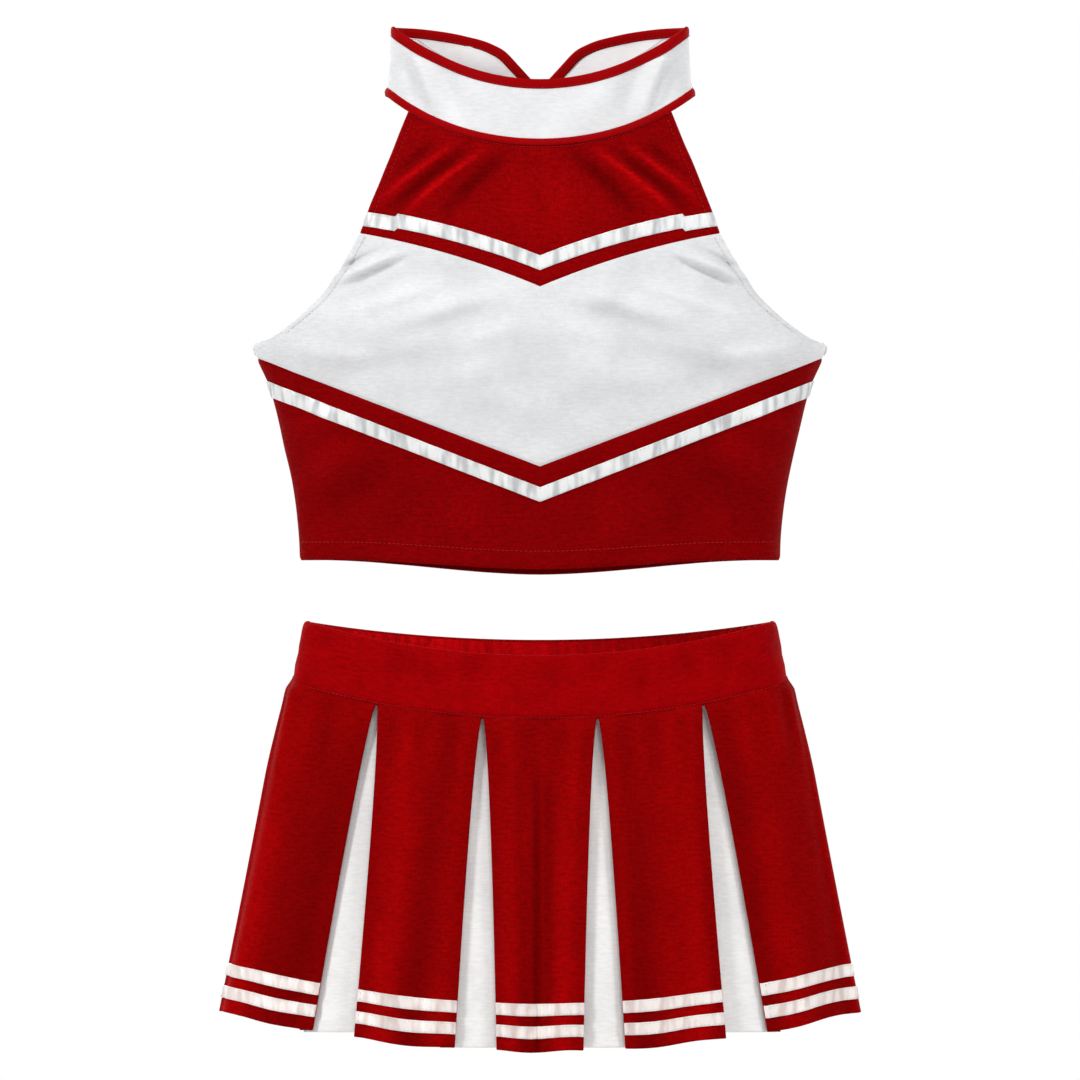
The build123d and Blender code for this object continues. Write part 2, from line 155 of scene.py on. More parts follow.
def vee(low, slope, droop=0.0):
    return lambda x: low + slope * np.abs(x) - droop * np.abs(x) ** 2


def hem_front(x):
    return 60.3 + 6.4 * ease(np.abs(x) / 140)


def hem_back(x):
    return 56.6 + 10 * ease(np.abs(x) / 155)


back_top = sag(200, 216.6, 206)
collar_foot, collar_top = sag(107, 396.3, 361.2), sag(103, 439.4, 402.8)
upper_seam, straight_upper_ribbon = vee(257.6, 0.42, 0.00098), vee(269.2, 0.40, 0.00105)


def upper_ribbon(x):
    """The upper ribbon's lower edge, which drops where a crease runs under it."""
    return straight_upper_ribbon(x) - 2.4 * ease((np.abs(x) - 99.5) / 1.8)


lower_seam, lower_ribbon = vee(131.9, 0.382), vee(107.2, 0.39)
skirt_hem = sag(224, -248.5, -276.5)
WAIST_EDGE = {"front": sag(165, 23.1, 0), "back": sag(165, 23.1, 10.5)}
WAIST_SEAM = {"front": sag(177, -17.5, -44), "back": sag(177, -17.5, -38)}


# ---------------------------------------------------------------- wrinkles
def fold(x, z, start, end, width, height):
    """A soft ridge, or a valley where height is negative, along a line that fades out at both ends."""
    start, end = np.array(start, float), np.array(end, float)
    way = end - start
    length = np.hypot(*way)
    way /= length
    along = ((x - start[0]) * way[0] + (z - start[1]) * way[1]) / length
    across = (x - start[0]) * -way[1] + (z - start[1]) * way[0]
    return height * bell(across, width) * ease(along * 2.6) * ease((1 - along) * 2.2)


def swells(u, v, seed, size, count=7):
    """Gentle random unevenness between about -1 and 1, with waves around `size` long."""
    draw = np.random.default_rng(seed)
    total = 0
    for _ in range(count):
        way, phase = draw.uniform(0, math.pi), draw.uniform(0, 2 * math.pi)
        wave = 2 * math.pi / (size * draw.uniform(0.7, 1.6))
        total = total + np.sin(wave * (u * math.cos(way) + v * math.sin(way)) + phase)
    return total / math.sqrt(2 * count)


def puckers(along, seed, spacing, height, length):
    """Small ridges at uneven distances along a line from -length / 2 to length / 2."""
    draw = np.random.default_rng(seed)
    count = max(2, int(length / spacing))
    places = (np.arange(count) + draw.uniform(0.15, 0.85, count)) / count * length - length / 2
    heights = height * draw.uniform(0.35, 1.0, count)
    widths = spacing * draw.uniform(0.16, 0.34, count)
    total = 0
    for place, tall, wide in zip(places, heights, widths):
        total = total + tall * bell(along - place, wide)
    return total


# Folds of the front of the top, on its right half and mirrored: start, end, half width, height.
FRONT_FOLDS = [
    ((33, 360), (104, 301), 2.7, 1.5), ((44, 362), (116, 302), 4.2, -0.85), ((56, 363), (120, 310), 2.8, 1.1),
    ((14, 363), (80, 296), 6.5, -0.75), ((72, 362), (108, 332), 4.0, -0.6), ((8, 350), (16, 286), 12, 0.3),
    ((84, 281), (150, 252), 2.4, -1.7), ((88, 286), (154, 257), 3.2, 1.4),
    ((104, 288), (152, 264), 2.0, -0.9),
    ((14, 259), (112, 230), 8, 1.5), ((20, 248), (122, 216), 8, -1.2), ((58, 264), (160, 232), 6, 1.4),
    ((118, 286), (164, 240), 2.6, -1.1), ((100, 205), (190, 217), 7, 1.0), ((48, 219), (152, 193), 9, -0.9),
    ((6, 236), (60, 214), 8, 1.1), ((20, 205), (100, 186), 9, 0.8),
    ((120, 150), (172, 120), 12, 1.6), ((100, 135), (166, 95), 14, -1.6), ((130, 175), (180, 150), 9, 1.2),
    ((40, 120), (60, 70), 12, 0.9), ((90, 125), (110, 70), 12, -0.9),
    ((66, 372), (96, 436), 5, 1.5), ((76, 376), (102, 424), 4, -1.3), ((20, 366), (62, 414), 10, 0.9),
    ((50, 368), (84, 432), 7, -1.1),
]
FOLD_DEPTH = 2.1


def crease_height(side, z):
    """Height of the folds at a distance from the middle of the front."""
    total = 0
    for start, end, width, height in FRONT_FOLDS:
        total = total + FOLD_DEPTH * fold(side + 1.5 * np.sin(z / 9), z, start, end, width, height)
    return total


def top_drape(phi, z):
    """How far the top's cloth stands off the form at an angle and height."""
    x = TOP.a(z) * np.sin(phi)
    lift = 0.9 * swells(x, z, 3, 52) + 0.3 * swells(x, z, 4, 19)
    calm = ease((np.abs(np.cos(phi))) * 6)
    across_back = 0.9 * np.sin(z / 17 + 1.3 * np.sin(x / 60)) * bell(z - 150, 60)
    return calm * (lift + np.where(np.cos(phi) > 0, crease_height(np.abs(x), z), across_back))


def seam_dip(distance, depth=0.8, width=1.3):
    return -depth * bell(distance, width)


# ---------------------------------------------------------------- meshes
def add_mesh(name, points, faces, material, coords=None, smooth=True, painted_shade=None):
    """A mesh object from points in mm. `coords` is each point's place on the cloth, for its weave. `painted_shade` is
    fold shading painted into the base colour: lighter above 0, darker below 0."""
    mesh = bpy.data.meshes.new(name)
    mesh.from_pydata((np.asarray(points) * MM).tolist(), [], faces)
    if coords is not None:
        attribute = mesh.attributes.new("cloth", "FLOAT_VECTOR", "POINT")
        flat = np.zeros((len(coords), 3))
        flat[:, :2] = coords
        attribute.data.foreach_set("vector", flat.ravel())
    if painted_shade is not None:
        mesh.attributes.new("painted_shade", "FLOAT", "POINT").data.foreach_set("value", np.asarray(painted_shade, np.float32))
    mesh.polygons.foreach_set("use_smooth", [smooth] * len(mesh.polygons))
    mesh.materials.append(material)
    mesh.update()
    thing = bpy.data.objects.new(name, mesh)
    bpy.context.scene.collection.objects.link(thing)
    return thing


def cloth(name, outer, coords, thickness, material, painted_shade=None):
    """A closed sheet of cloth with rounded edges. `outer` is its outer face, a grid of rows and columns."""
    rows, columns = outer.shape[:2]
    normal = np.cross(np.gradient(outer, axis=1), np.gradient(outer, axis=0))
    normal /= np.maximum(np.linalg.norm(normal, axis=-1, keepdims=True), 1e-9)
    inner = outer - normal * thickness
    index = np.arange(rows * columns).reshape(rows, columns)
    loop = np.concatenate([index[0, :], index[1:, -1], index[-1, -2::-1], index[-2:0:-1, 0]])
    neighbour = np.concatenate([index[1, :], index[1:, -2], index[-2, -2::-1], index[-2:0:-1, 1]])
    flat_outer, flat_inner = outer.reshape(-1, 3), inner.reshape(-1, 3)
    middle, behind = ((flat_outer[i] + flat_inner[i]) / 2 for i in (loop, neighbour))
    away = middle - behind
    away /= np.maximum(np.linalg.norm(away, axis=-1, keepdims=True), 1e-9)
    rim = middle + away * thickness * 0.45
    quads = np.stack([index[:-1, :-1], index[:-1, 1:], index[1:, 1:], index[1:, :-1]], axis=-1).reshape(-1, 4)
    total = rows * columns
    mid = 2 * total + np.arange(len(loop))
    after, mid_after = np.roll(loop, -1), np.roll(mid, -1)
    sides = np.stack([after, loop, mid, mid_after], axis=-1)
    backs = np.stack([mid_after, mid, loop + total, after + total], axis=-1)
    faces = np.concatenate([quads, quads[:, ::-1] + total, sides, backs]).tolist()
    flat_coords = coords.reshape(-1, 2)
    # The outer face and the rim carry the painted fold shade; the inner face has none.
    painted_fold_shading = np.zeros(total) if painted_shade is None else painted_shade.reshape(-1)
    return add_mesh(name, np.concatenate([flat_outer, flat_inner, rim]), faces, material,
                    np.concatenate([flat_coords, flat_coords, flat_coords[loop]]),
                    painted_shade=np.concatenate([painted_fold_shading, 0 * painted_fold_shading, painted_fold_shading[loop]]))


def worn(name, form, phi, z, lift, thickness, material, painted_shade=None):
    """A sheet of cloth on a form."""
    coords = np.stack([form.arc(phi, z), z], axis=-1)
    return cloth(name, form.at(phi, z, lift), coords, thickness, material, painted_shade)


def give_inside_painted_light(sheet, material, first, last):
    """Gives a second material to a sheet's polygons from `first` up to `last`: a lighter copy of its cloth,
    painted light for a shaded inside.
    """
    sheet.data.materials.append(material)
    for polygon in sheet.data.polygons[first:last]:
        polygon.material_index = 1


def bar_faces(rings, sides):
    """Faces of a closed bar through rings of points, with flat ends."""
    index = np.arange(rings * sides).reshape(rings, sides)
    after = np.roll(index, -1, axis=1)
    quads = np.stack([index[:-1], after[:-1], after[1:], index[1:]], axis=-1).reshape(-1, 4).tolist()
    return quads + [index[0, ::-1].tolist(), index[-1].tolist()]


def join(name, parts):
    """Several meshes as one object."""
    bpy.ops.object.select_all(action="DESELECT")
    for part in parts:
        part.select_set(True)
    bpy.context.view_layer.objects.active = parts[0]
    bpy.ops.object.join()
    parts[0].name = parts[0].data.name = name
    return parts[0]


# One stitch's rings: place along it, height over the cloth, and thickness as a share.
STITCH_SHAPE = [(-0.5, -0.16, 0.35), (-0.3, 0.1, 1.0), (0.3, 0.1, 1.0), (0.5, -0.16, 0.35)]
STITCH_SIDES = 5


def stitches(name, lines, material, pitch=3.2, length=2.3, radius=0.24):
    """Sewn threads along lines on the cloth, each a pair: its points, and the same points lifted by 1 mm."""
    one_stitch = bar_faces(len(STITCH_SHAPE), STITCH_SIDES)
    corners = len(STITCH_SHAPE) * STITCH_SIDES
    points, faces, used = [], [], 0
    for base, raised in lines:
        run = np.concatenate([[0], np.cumsum(np.linalg.norm(np.diff(base, axis=0), axis=1))])
        count = max(1, int(run[-1] / pitch))
        centre = (np.arange(count) + 0.5) * run[-1] / count

        def along(line, distance):
            return np.stack([np.interp(distance, run, line[:, k]) for k in range(3)], axis=-1)

        rings = []
        for ahead, up, thick in STITCH_SHAPE:
            place = centre + ahead * length
            middle = along(base, place)
            normal = along(raised, place) - middle
            normal /= np.linalg.norm(normal, axis=-1, keepdims=True)
            tangent = along(base, place + 0.2) - along(base, place - 0.2)
            tangent /= np.maximum(np.linalg.norm(tangent, axis=-1, keepdims=True), 1e-9)
            across = np.cross(tangent, normal)
            turn = np.linspace(0, 2 * math.pi, STITCH_SIDES, endpoint=False)[None, :, None]
            ring = np.cos(turn) * across[:, None] + np.sin(turn) * normal[:, None]
            rings.append((middle + normal * up)[:, None] + ring * radius * thick)
        points.append(np.stack(rings, axis=1).reshape(-1, 3))
        for first in range(used, used + count * corners, corners):
            faces += [[first + corner for corner in face] for face in one_stitch]
        used += count * corners
    return add_mesh(name, np.concatenate(points), faces, material)


def shares(height, fine=(0, 0.5, 1.1, 1.8, 2.7, 4.0, 5.6), step=3.0):
    """Row places from 0 to 1 over a height in mm, close together near both edges."""
    fine = np.array(fine) / height
    middle = np.linspace(fine[-1], 1 - fine[-1], max(3, int(height * (1 - 2 * fine[-1]) / step)))
    return np.concatenate([fine[:-1], middle, 1 - fine[-2::-1]])


def settle(side, reach, height):
    """Where z = height(x) and x = side * reach(z) hold together."""
    z = height(0) + 0 * side
    for _ in range(60):
        x = side * reach(z)
        z = (z + height(x)) / 2
    return x, z


def between(low, high, height, columns, reach=TOP.a, back=False, step=3.0):
    """Angles and heights of a grid on the top between two edges, as wide as `reach`."""
    side, share = np.meshgrid(np.sin(sweep(columns)), shares(height, step=step))
    _, z = settle(side, reach, lambda x: low(x) + share * (high(x) - low(x)))
    narrow = reach(z) < TOP.a(z) - 1e-6
    phi = np.where(narrow, TOP.angle(side * reach(z), z), sweep(columns)[None, :] + 0 * z)
    return (math.pi + phi, z) if back else (phi, z)


def front_reach(z):
    """Half width of the front: the whole form below the armpit, the armhole's edge above it."""
    corner = ARMHOLE[0][0]
    return np.minimum(TOP.a(z), armhole(np.maximum(z, corner)) + 2.8 * np.maximum(corner - z, 0))


def armhole_lift(phi, z):
    """The doubled, stitched edge along the armhole."""
    inward = (front_reach(z) - np.abs(TOP.a(z) * np.sin(phi))) * 1.25
    above = ease((z - ARMPIT_LEVEL - 3) / 18) * (np.cos(phi) > 0)
    edge = 0.6 * ease((ARMHOLE_TURN + 1.2 - inward) / 1.3) - 1.0 * bell(inward - ARMHOLE_TURN, 0.8)
    return above * (edge - 0.7 * bell(inward, 1.0))


def top_rest(phi, z):
    """How far the top's outer face stands off the form, with its armhole edges."""
    return top_drape(phi, z) + armhole_lift(phi, z)


# ---------------------------------------------------------------- materials
def linear(colour):
    """sRGB from 0 to 255 as linear RGBA."""
    parts = [c / 255 for c in colour]
    return [c / 12.92 if c <= 0.04045 else ((c + 0.055) / 1.055) ** 2.4 for c in parts] + [1.0]


def feed(tree, made, inputs):
    """Gives a node's inputs plain values, or links them to other nodes."""
    for key, value in inputs.items():
        if isinstance(value, bpy.types.NodeSocket):
            tree.links.new(value, made.inputs[key])
        else:
            made.inputs[key].default_value = value


def node(tree, kind, inputs=None, **settings):
    made = tree.nodes.new("ShaderNode" + kind)
    for key, value in settings.items():
        setattr(made, key, value)
    feed(tree, made, inputs or {})
    return made


def camera_switch(tree, else_value, seen_value):
    """One value for what the camera sees directly, and another for the light that falls on things."""
    seen = node(tree, "LightPath").outputs["Is Camera Ray"]
    return node(tree, "MapRange", {0: seen, 3: else_value, 4: seen_value}).outputs[0]


class Look:
    """A material and its nodes."""

    def __init__(self, name, roughness, gloss=0.3, sheen=0.0, tint=(1, 1, 1, 1), sheen_roughness=0.4):
        self.material = bpy.data.materials.new(name)
        self.material.use_nodes = True
        self.tree = self.material.node_tree
        self.shader = self.tree.nodes["Principled BSDF"]
        feed(self.tree, self.shader, {
            "Roughness": roughness, "Specular IOR Level": gloss, "Specular Tint": tint, "Sheen Weight": sheen,
            "Sheen Tint": tint, "Sheen Roughness": sheen_roughness})

    def add(self, kind, inputs=None, **settings):
        return node(self.tree, kind, inputs, **settings)

    def place(self, squeeze=None):
        """Each point's place on the cloth in mm, across and up."""
        place = self.add("Attribute", attribute_name="cloth").outputs["Vector"]
        return self.add("Mapping", {0: place, 3: squeeze}).outputs[0] if squeeze else place

    def math(self, operation, a, b, clamp=False):
        return self.add("Math", {0: a, 1: b}, operation=operation, use_clamp=clamp).outputs[0]

    def both(self, first, share, second, other_share):
        weighed = [self.math("MULTIPLY", *pair) for pair in ((first, share), (second, other_share))]
        return self.math("ADD", *weighed)

    def mix(self, share, first, second):
        """Between two colours, which are other nodes' or sRGB from 0 to 255."""
        ends = [linear(c) if isinstance(c, tuple) else c for c in (first, second)]
        return self.add("Mix", {0: share, 6: ends[0], 7: ends[1]}, data_type="RGBA").outputs[2]

    def spread(self, value, low, high, to_low=0.0, to_high=1.0):
        return self.add("MapRange", {0: value, 1: low, 2: high, 3: to_low, 4: to_high}).outputs[0]

    def shade(self, colour, value):
        return self.add("HueSaturation", {"Value": value, "Color": colour}).outputs[0]

    def wave(self, period, axis, distortion, detail_scale=1.0):
        """A sine wave along the cloth's X (across) or Y (up) with a period in mm."""
        inputs = {"Vector": self.place(), "Scale": 0.314159 / period, "Distortion": distortion, "Detail": 1.0,
                  "Detail Scale": detail_scale}
        return self.add("TexWave", inputs, bands_direction=axis).outputs["Fac"]

    def noise(self, size, detail=2.0, roughness=0.5, squeeze=None):
        """Noise with features about `size` mm across."""
        inputs = {"Vector": self.place(squeeze), "Scale": 1 / size, "Detail": detail, "Roughness": roughness}
        return self.add("TexNoise", inputs).outputs["Fac"]

    def finish(self, colour, height, strength, depth, roughness=None, invert=False):
        """Links the colour, the relief (`depth` in mm) and the roughness."""
        inputs = {"Strength": strength, "Distance": depth * MM, "Height": height}
        bump = self.add("Bump", inputs, invert=invert)
        linked = {"Base Color": colour, "Normal": bump.outputs[0], "Roughness": roughness}
        feed(self.tree, self.shader, {key: socket for key, socket in linked.items() if socket is not None})
        return self.material


def knit(name, colour, shade, speckle, wale=1.0, course=1.35, depth=0.14, sheen=0.12, gloss=0.08):
    """Double-knit cloth: fine wales and courses, fuzz, patches that are slightly lighter or darker, and
    painted fold shade from the mesh.
    """
    look = Look(name, 0.78, gloss, sheen, linear(speckle), 0.35)
    loops = look.math("MULTIPLY", look.wave(wale, "X", 4.0, 0.5), look.wave(course, "Y", 5.0, 0.4))
    fuzz, grain, patch = look.noise(0.7, 3.0, 0.6), look.noise(2.3), look.noise(38, 3.0)
    rows = look.spread(look.noise(1.9, squeeze=(0.28, 1.0, 1.0)), 0.3, 0.7)
    base = look.mix(look.both(loops, 0.4, rows, 0.6), shade, colour)
    flecks = look.math("SUBTRACT", look.math("ADD", fuzz, grain), 0.92)
    base = look.mix(look.math("MULTIPLY", flecks, 0.5, True), base, speckle)
    # Painted shade and highlight: the mesh's fold heights lighten ridges and darken valleys in the colour.
    painted_fold_shading = look.math("ADD", look.add("Attribute", attribute_name="painted_shade").outputs["Fac"], 1.0)
    tone = look.math("MULTIPLY", look.spread(patch, 0.3, 0.7, 0.93, 1.05), painted_fold_shading)
    height = look.math("ADD", loops, look.math("MULTIPLY", fuzz, 0.9))
    return look.finish(look.shade(base, tone), height, 0.55, depth, look.spread(fuzz, 0.2, 0.8, 0.7, 0.88))


def satin(name, colour, shade):
    """Satin ribbon: fine warp threads along its length, a soft gloss, and faint grey bars that are painted
    sheen and shade of its puckers.
    """
    look = Look(name, 0.3, 0.5, 0.15)
    warp, weft = look.wave(0.42, "Y", 0.3), look.wave(0.9, "X", 0.8)
    patches, cloud = look.noise(7.5, 1.6, squeeze=(1.0, 0.22, 1.0)), look.noise(4.0)
    # Grey bars: painted sheen and shade.
    base = look.mix(look.spread(patches, 0.46, 0.62), colour, shade)
    height = look.math("ADD", look.both(warp, 0.5, weft, 0.3), cloud)
    final = look.shade(base, look.spread(warp, 0.0, 1.0, 0.95, 1.02))
    return look.finish(final, height, 0.35, 0.1, look.spread(cloud, 0.3, 0.7, 0.24, 0.42))


def ribbed(name, colour, shade):
    """Knitted binding: ribs across its length."""
    look = Look(name, 0.7, 0.12, 0.1, linear((214, 20, 22)))
    ribs = look.both(look.wave(1.1, "X", 0.8, 0.7), 0.7, look.noise(0.8, 3.0), 0.5)
    return look.finish(look.mix(ribs, shade, colour), ribs, 0.6, 0.22)


def strands(name, colour, shade, roughness=0.6, gloss=0.15, scale=700.0, distortion=2.0, axis="DIAGONAL",
            strength=0.4, depth=0.05):
    """Sewing thread with its twist, or the ribs of elastic tape."""
    look = Look(name, roughness, gloss, sheen_roughness=0.5)
    inputs = {"Vector": look.add("TexCoord").outputs["Object"], "Scale": scale, "Distortion": distortion}
    twist = look.add("TexWave", inputs, bands_direction=axis).outputs["Fac"]
    return look.finish(look.mix(twist, shade, colour), twist, strength, depth)


def pile(name, colour, shade, size):
    """Hook or loop tape: a dense pile of small tufts."""
    look = Look(name, 0.85, 0.2, 0.3)
    tufts = look.add("TexVoronoi", {"Vector": look.place(), "Scale": 1 / size}).outputs["Distance"]
    return look.finish(look.mix(tufts, colour, shade), tufts, 0.8, 0.3, invert=True)


def materials():
    return {
        "yoke_red": knit("yoke_red_knit", (144, 3, 6), (110, 1, 3), (214, 12, 12), sheen=0.35),
        "top_red": knit("top_red_knit", (138, 2, 5), (106, 1, 3), (186, 10, 12)),
        "pleat_red": knit("pleat_red_knit", (147, 2, 4), (114, 1, 2), (194, 12, 12), sheen=0.2),
        "waist_red": knit("waist_red_knit", (166, 2, 8), (134, 1, 4), (206, 10, 14)),
        # A lighter red for the waistband's inside: painted light against the shade there.
        "waist_inside_painted_light_red": knit("waist_inside_painted_light_knit", (208, 6, 16), (170, 4, 10), (240, 24, 30)),
        "white": knit("white_knit", (225, 225, 226), (208, 209, 211), (245, 245, 245), 1.3, 1.5, 0.22, 0.08,
                      gloss=0.2),
        # A lighter white for the inside of the collar's back halves: painted light against the shade there.
        "collar_inside_painted_light": knit("collar_inside_painted_light_knit", (250, 250, 250), (240, 240, 241), (252, 252, 252),
                              gloss=0.2),
        "collar_white": knit("collar_knit", (229, 229, 230), (213, 214, 216), (243, 243, 243), 1.2, 1.4, 0.16,
                             0.08, gloss=0.2),
        # A lighter white for the pleat inserts: painted light against the shade deep between the pleats.
        "insert_white_painted_light": knit("white_pleat_knit", (243, 242, 240), (226, 225, 224), (250, 250, 249), 1.0, 1.2,
                            0.12, 0.08, gloss=0.2),
        "satin": satin("white_satin", (232, 233, 232), (186, 188, 190)),
        "skirt_satin": satin("warm_satin", (240, 230, 226), (216, 198, 192)),
        "binding": ribbed("red_binding", (166, 8, 12), (112, 2, 4)),
        "red_thread": strands("red_thread", (188, 30, 32), (134, 8, 12)),
        "white_thread": strands("white_thread", (226, 226, 226), (190, 190, 192)),
        "grey_thread": strands("grey_thread", (176, 176, 180), (140, 140, 146)),
        "loop": pile("loop_pile", (236, 236, 234), (196, 196, 194), 0.55),
        "hook": pile("hook_pile", (240, 240, 240), (180, 182, 184), 0.8),
        "elastic": strands("woven_elastic", (232, 231, 226), (200, 198, 192), 0.8, 0.5, 120.0, 0.5, "Z", 0.5,
                           0.3),
        "label": satin("label_satin", (240, 240, 238), (226, 226, 224)),
    }


# ---------------------------------------------------------------- attaching pieces to their bodies
def piece(thing, body, slot, *nodes, flat=None, held="stretched", rests_on=(), area=None):
    if body is not None:
        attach(thing, body)
    if nodes:
        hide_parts(*nodes)


# ---------------------------------------------------------------- top
def top_panel(name, grid, low, high, material, face, painted_shade_strength):
    """A panel with dips along its seams. Its last argument is how strongly painted fold shade shows in its
    colour, per mm of fold height: lighter on ridges, darker in valleys.
    """
    phi, z = grid
    x = TOP.a(z) * np.sin(phi)
    side_gap = np.abs(QUARTER - np.abs(phi - MIDDLE[face]))
    lift = top_rest(phi, z) + seam_dip(z - low(x)) + seam_dip(high(x) - z)
    lift = lift + ease((ARMPIT_LEVEL + 1 - z) / 2) * seam_dip(side_gap * 55, 0.6)
    # Painted shade: the front's fold heights lighten or darken its colour.
    painted_shade = painted_shade_strength * np.where(np.cos(phi) > 0, crease_height(np.abs(x), z), 0)
    return worn(name, TOP, phi, z, lift, CLOTH, material, np.clip(painted_shade, -0.5, 0.8))


def turned_hem(hem, back, material):
    """The hem's turned-up layer inside the lower panel."""
    phi, z = between(lambda x: hem(x) + 0.4, lambda x: hem(x) + HEM_TURN, HEM_TURN, 121, back=back)
    return worn("hem", TOP, phi, z, top_drape(phi, z) - CLOTH - 0.15, CLOTH * 0.8, material)


def edge_line(edge, rise, lift, reach=TOP.a, back=False, span=0.985):
    """A sewing line that follows an edge of the top, `rise` mm above it."""
    x, z = settle(np.sin(sweep(400)) * span, reach, lambda x: edge(x) + rise)
    phi = TOP.angle(x, z, back)
    return TOP.line(phi, z, top_rest(phi, z) + lift)


def armhole_strip(name, side, material):
    """The armhole's turned-in edge, on the inside."""
    rise = np.linspace(ARMPIT_LEVEL + 9, 384, 90)
    inward, z = np.meshgrid(np.linspace(0.3, ARMHOLE_TURN + 0.6, 6)[::-side], rise)
    phi = TOP.angle(side * (armhole(z) - inward), z)
    return worn(name, TOP, phi, z, top_rest(phi, z) - CLOTH - 0.1, 0.9, material)


def top_ribbon(name, edge, seed, material, reach, back):
    """A satin ribbon along a V, held down at its two edges and puckered between them."""
    across = shares(TOP_RIBBON, (0, 0.5, 1.1, 1.8, 2.7), 1.2)
    side, share = np.meshgrid(np.sin(sweep(361)), across)
    x, z = settle(side, reach, lambda x: edge(x) + TOP_RIBBON * share)
    phi = TOP.angle(x, z, back)
    if back:
        phi, z, x, share = phi[:, ::-1], z[:, ::-1], x[:, ::-1], share[:, ::-1]
    along = TOP.arc(phi, z) * 1.06
    middle = TOP.arc(math.pi, z) * 1.06 if back else 0
    slanted = along - middle + 1.6 * (share - 0.5) * np.sin(along / 23)
    loose = 1 - np.abs(2 * share - 1) ** 3
    lift = puckers(slanted, seed, 11, 0.8, 460) + puckers(slanted, seed + 1, 5.3, 0.45, 460)
    mitre = -0.3 * bell(np.abs(x), 0.7)
    lift = top_rest(phi, z) + 0.3 + RIBBON_CLOTH + loose * lift + mitre
    coords = np.stack([along, share * TOP_RIBBON], axis=-1)
    return cloth(name, TOP.at(phi, z, lift), coords, RIBBON_CLOTH, material)


# Cross-section of a folded binding: distance in from the edge, and lift off the form.
BINDING_SHAPE = [(7.0, -0.3), (6.8, 0.45), (6.0, 0.5), (5.4, 0.75), (3.8, 1.0), (1.8, 1.05), (0.6, 0.75),
                 (0.0, 0.0), (0.0, -1.2), (0.6, -1.95), (1.8, -2.25), (3.8, -2.2), (5.6, -1.95), (6.8, -1.7),
                 (7.0, -1.1)]


def bound_edge(name, phi, z, material, flip=1, shape=BINDING_SHAPE, drape=True):
    """A binding folded over an edge, given as angles and heights. It runs to the cloth's lower side, or its
    upper side where flip is -1."""
    run = TOP.pace(phi, z) * np.gradient(phi)
    rise = np.gradient(z)
    length = np.hypot(run, rise)
    sense = flip * np.sign(np.sum(run / length))
    in_phi, in_z = rise / length * sense, -run / length * sense
    travelled = np.concatenate([[0], np.cumsum(length[1:])])
    rings, coords, around = [], [], 0.0
    for k, (depth, lift) in enumerate(shape):
        p, h = phi + in_phi * depth / TOP.pace(phi, z), z + in_z * depth
        rest = top_drape(p, h) if drape else 0
        rings.append(TOP.at(p, h, rest + lift + 0.12 * swells(travelled, depth, 21, 14)))
        coords.append(np.stack([travelled, np.full_like(travelled, around)], axis=-1))
        around += float(np.hypot(*np.subtract(shape[(k + 1) % len(shape)], (depth, lift))))
    rings, coords = np.stack(rings, axis=1), np.stack(coords, axis=1)
    if sense * np.sign(np.mean(np.diff(phi))) > 0:
        rings, coords = rings[:, ::-1], coords[:, ::-1]
    return add_mesh(name, rings.reshape(-1, 3), bar_faces(*rings.shape[:2]), material, coords.reshape(-1, 2))


def side_seam(name, side, low, high, form, lift, material):
    """An overlocked seam allowance that lies on the inside, towards the back."""
    away, z = np.meshgrid(np.linspace(0, 7.5, 6)[::side], np.linspace(low, high, 60))
    phi = side * (QUARTER + away / form.pace(QUARTER, z))
    return worn(name, form, phi, z, lift + 0.35 * np.sin(z / 3.1) * away / 7.5, 1.4, material)


def seam_threads(name, side, low, high, form, lift, material):
    """Overlock loops across the raw edge of a seam allowance."""
    z = np.linspace(low, high, int((high - low) / 1.1))
    away = np.where(np.arange(len(z)) % 2 == 0, 7.7, 4.2)
    phi = side * (QUARTER + away / form.pace(QUARTER, z))
    return stitches(name, [form.line(phi, z, lift, -1)], material, 1.8, 2.2, 0.16)


def label(name, form, low, high, width, material):
    """A blank woven label that hangs from the left side seam, on the inside."""
    across, z = np.meshgrid(np.linspace(0, width, 14), np.linspace(low, high, 20))
    drop = (high - z) / (high - low)
    phi = -QUARTER - (4 + across[:, ::-1]) / form.pace(-QUARTER - 0.15, z)
    lift = -6.0 - 2.4 * drop - 1.6 * np.sin(across[:, ::-1] / width * math.pi)
    coords = np.stack([across, z - low], axis=-1)
    return cloth(name, form.at(phi, z, lift), coords, 0.4, material)


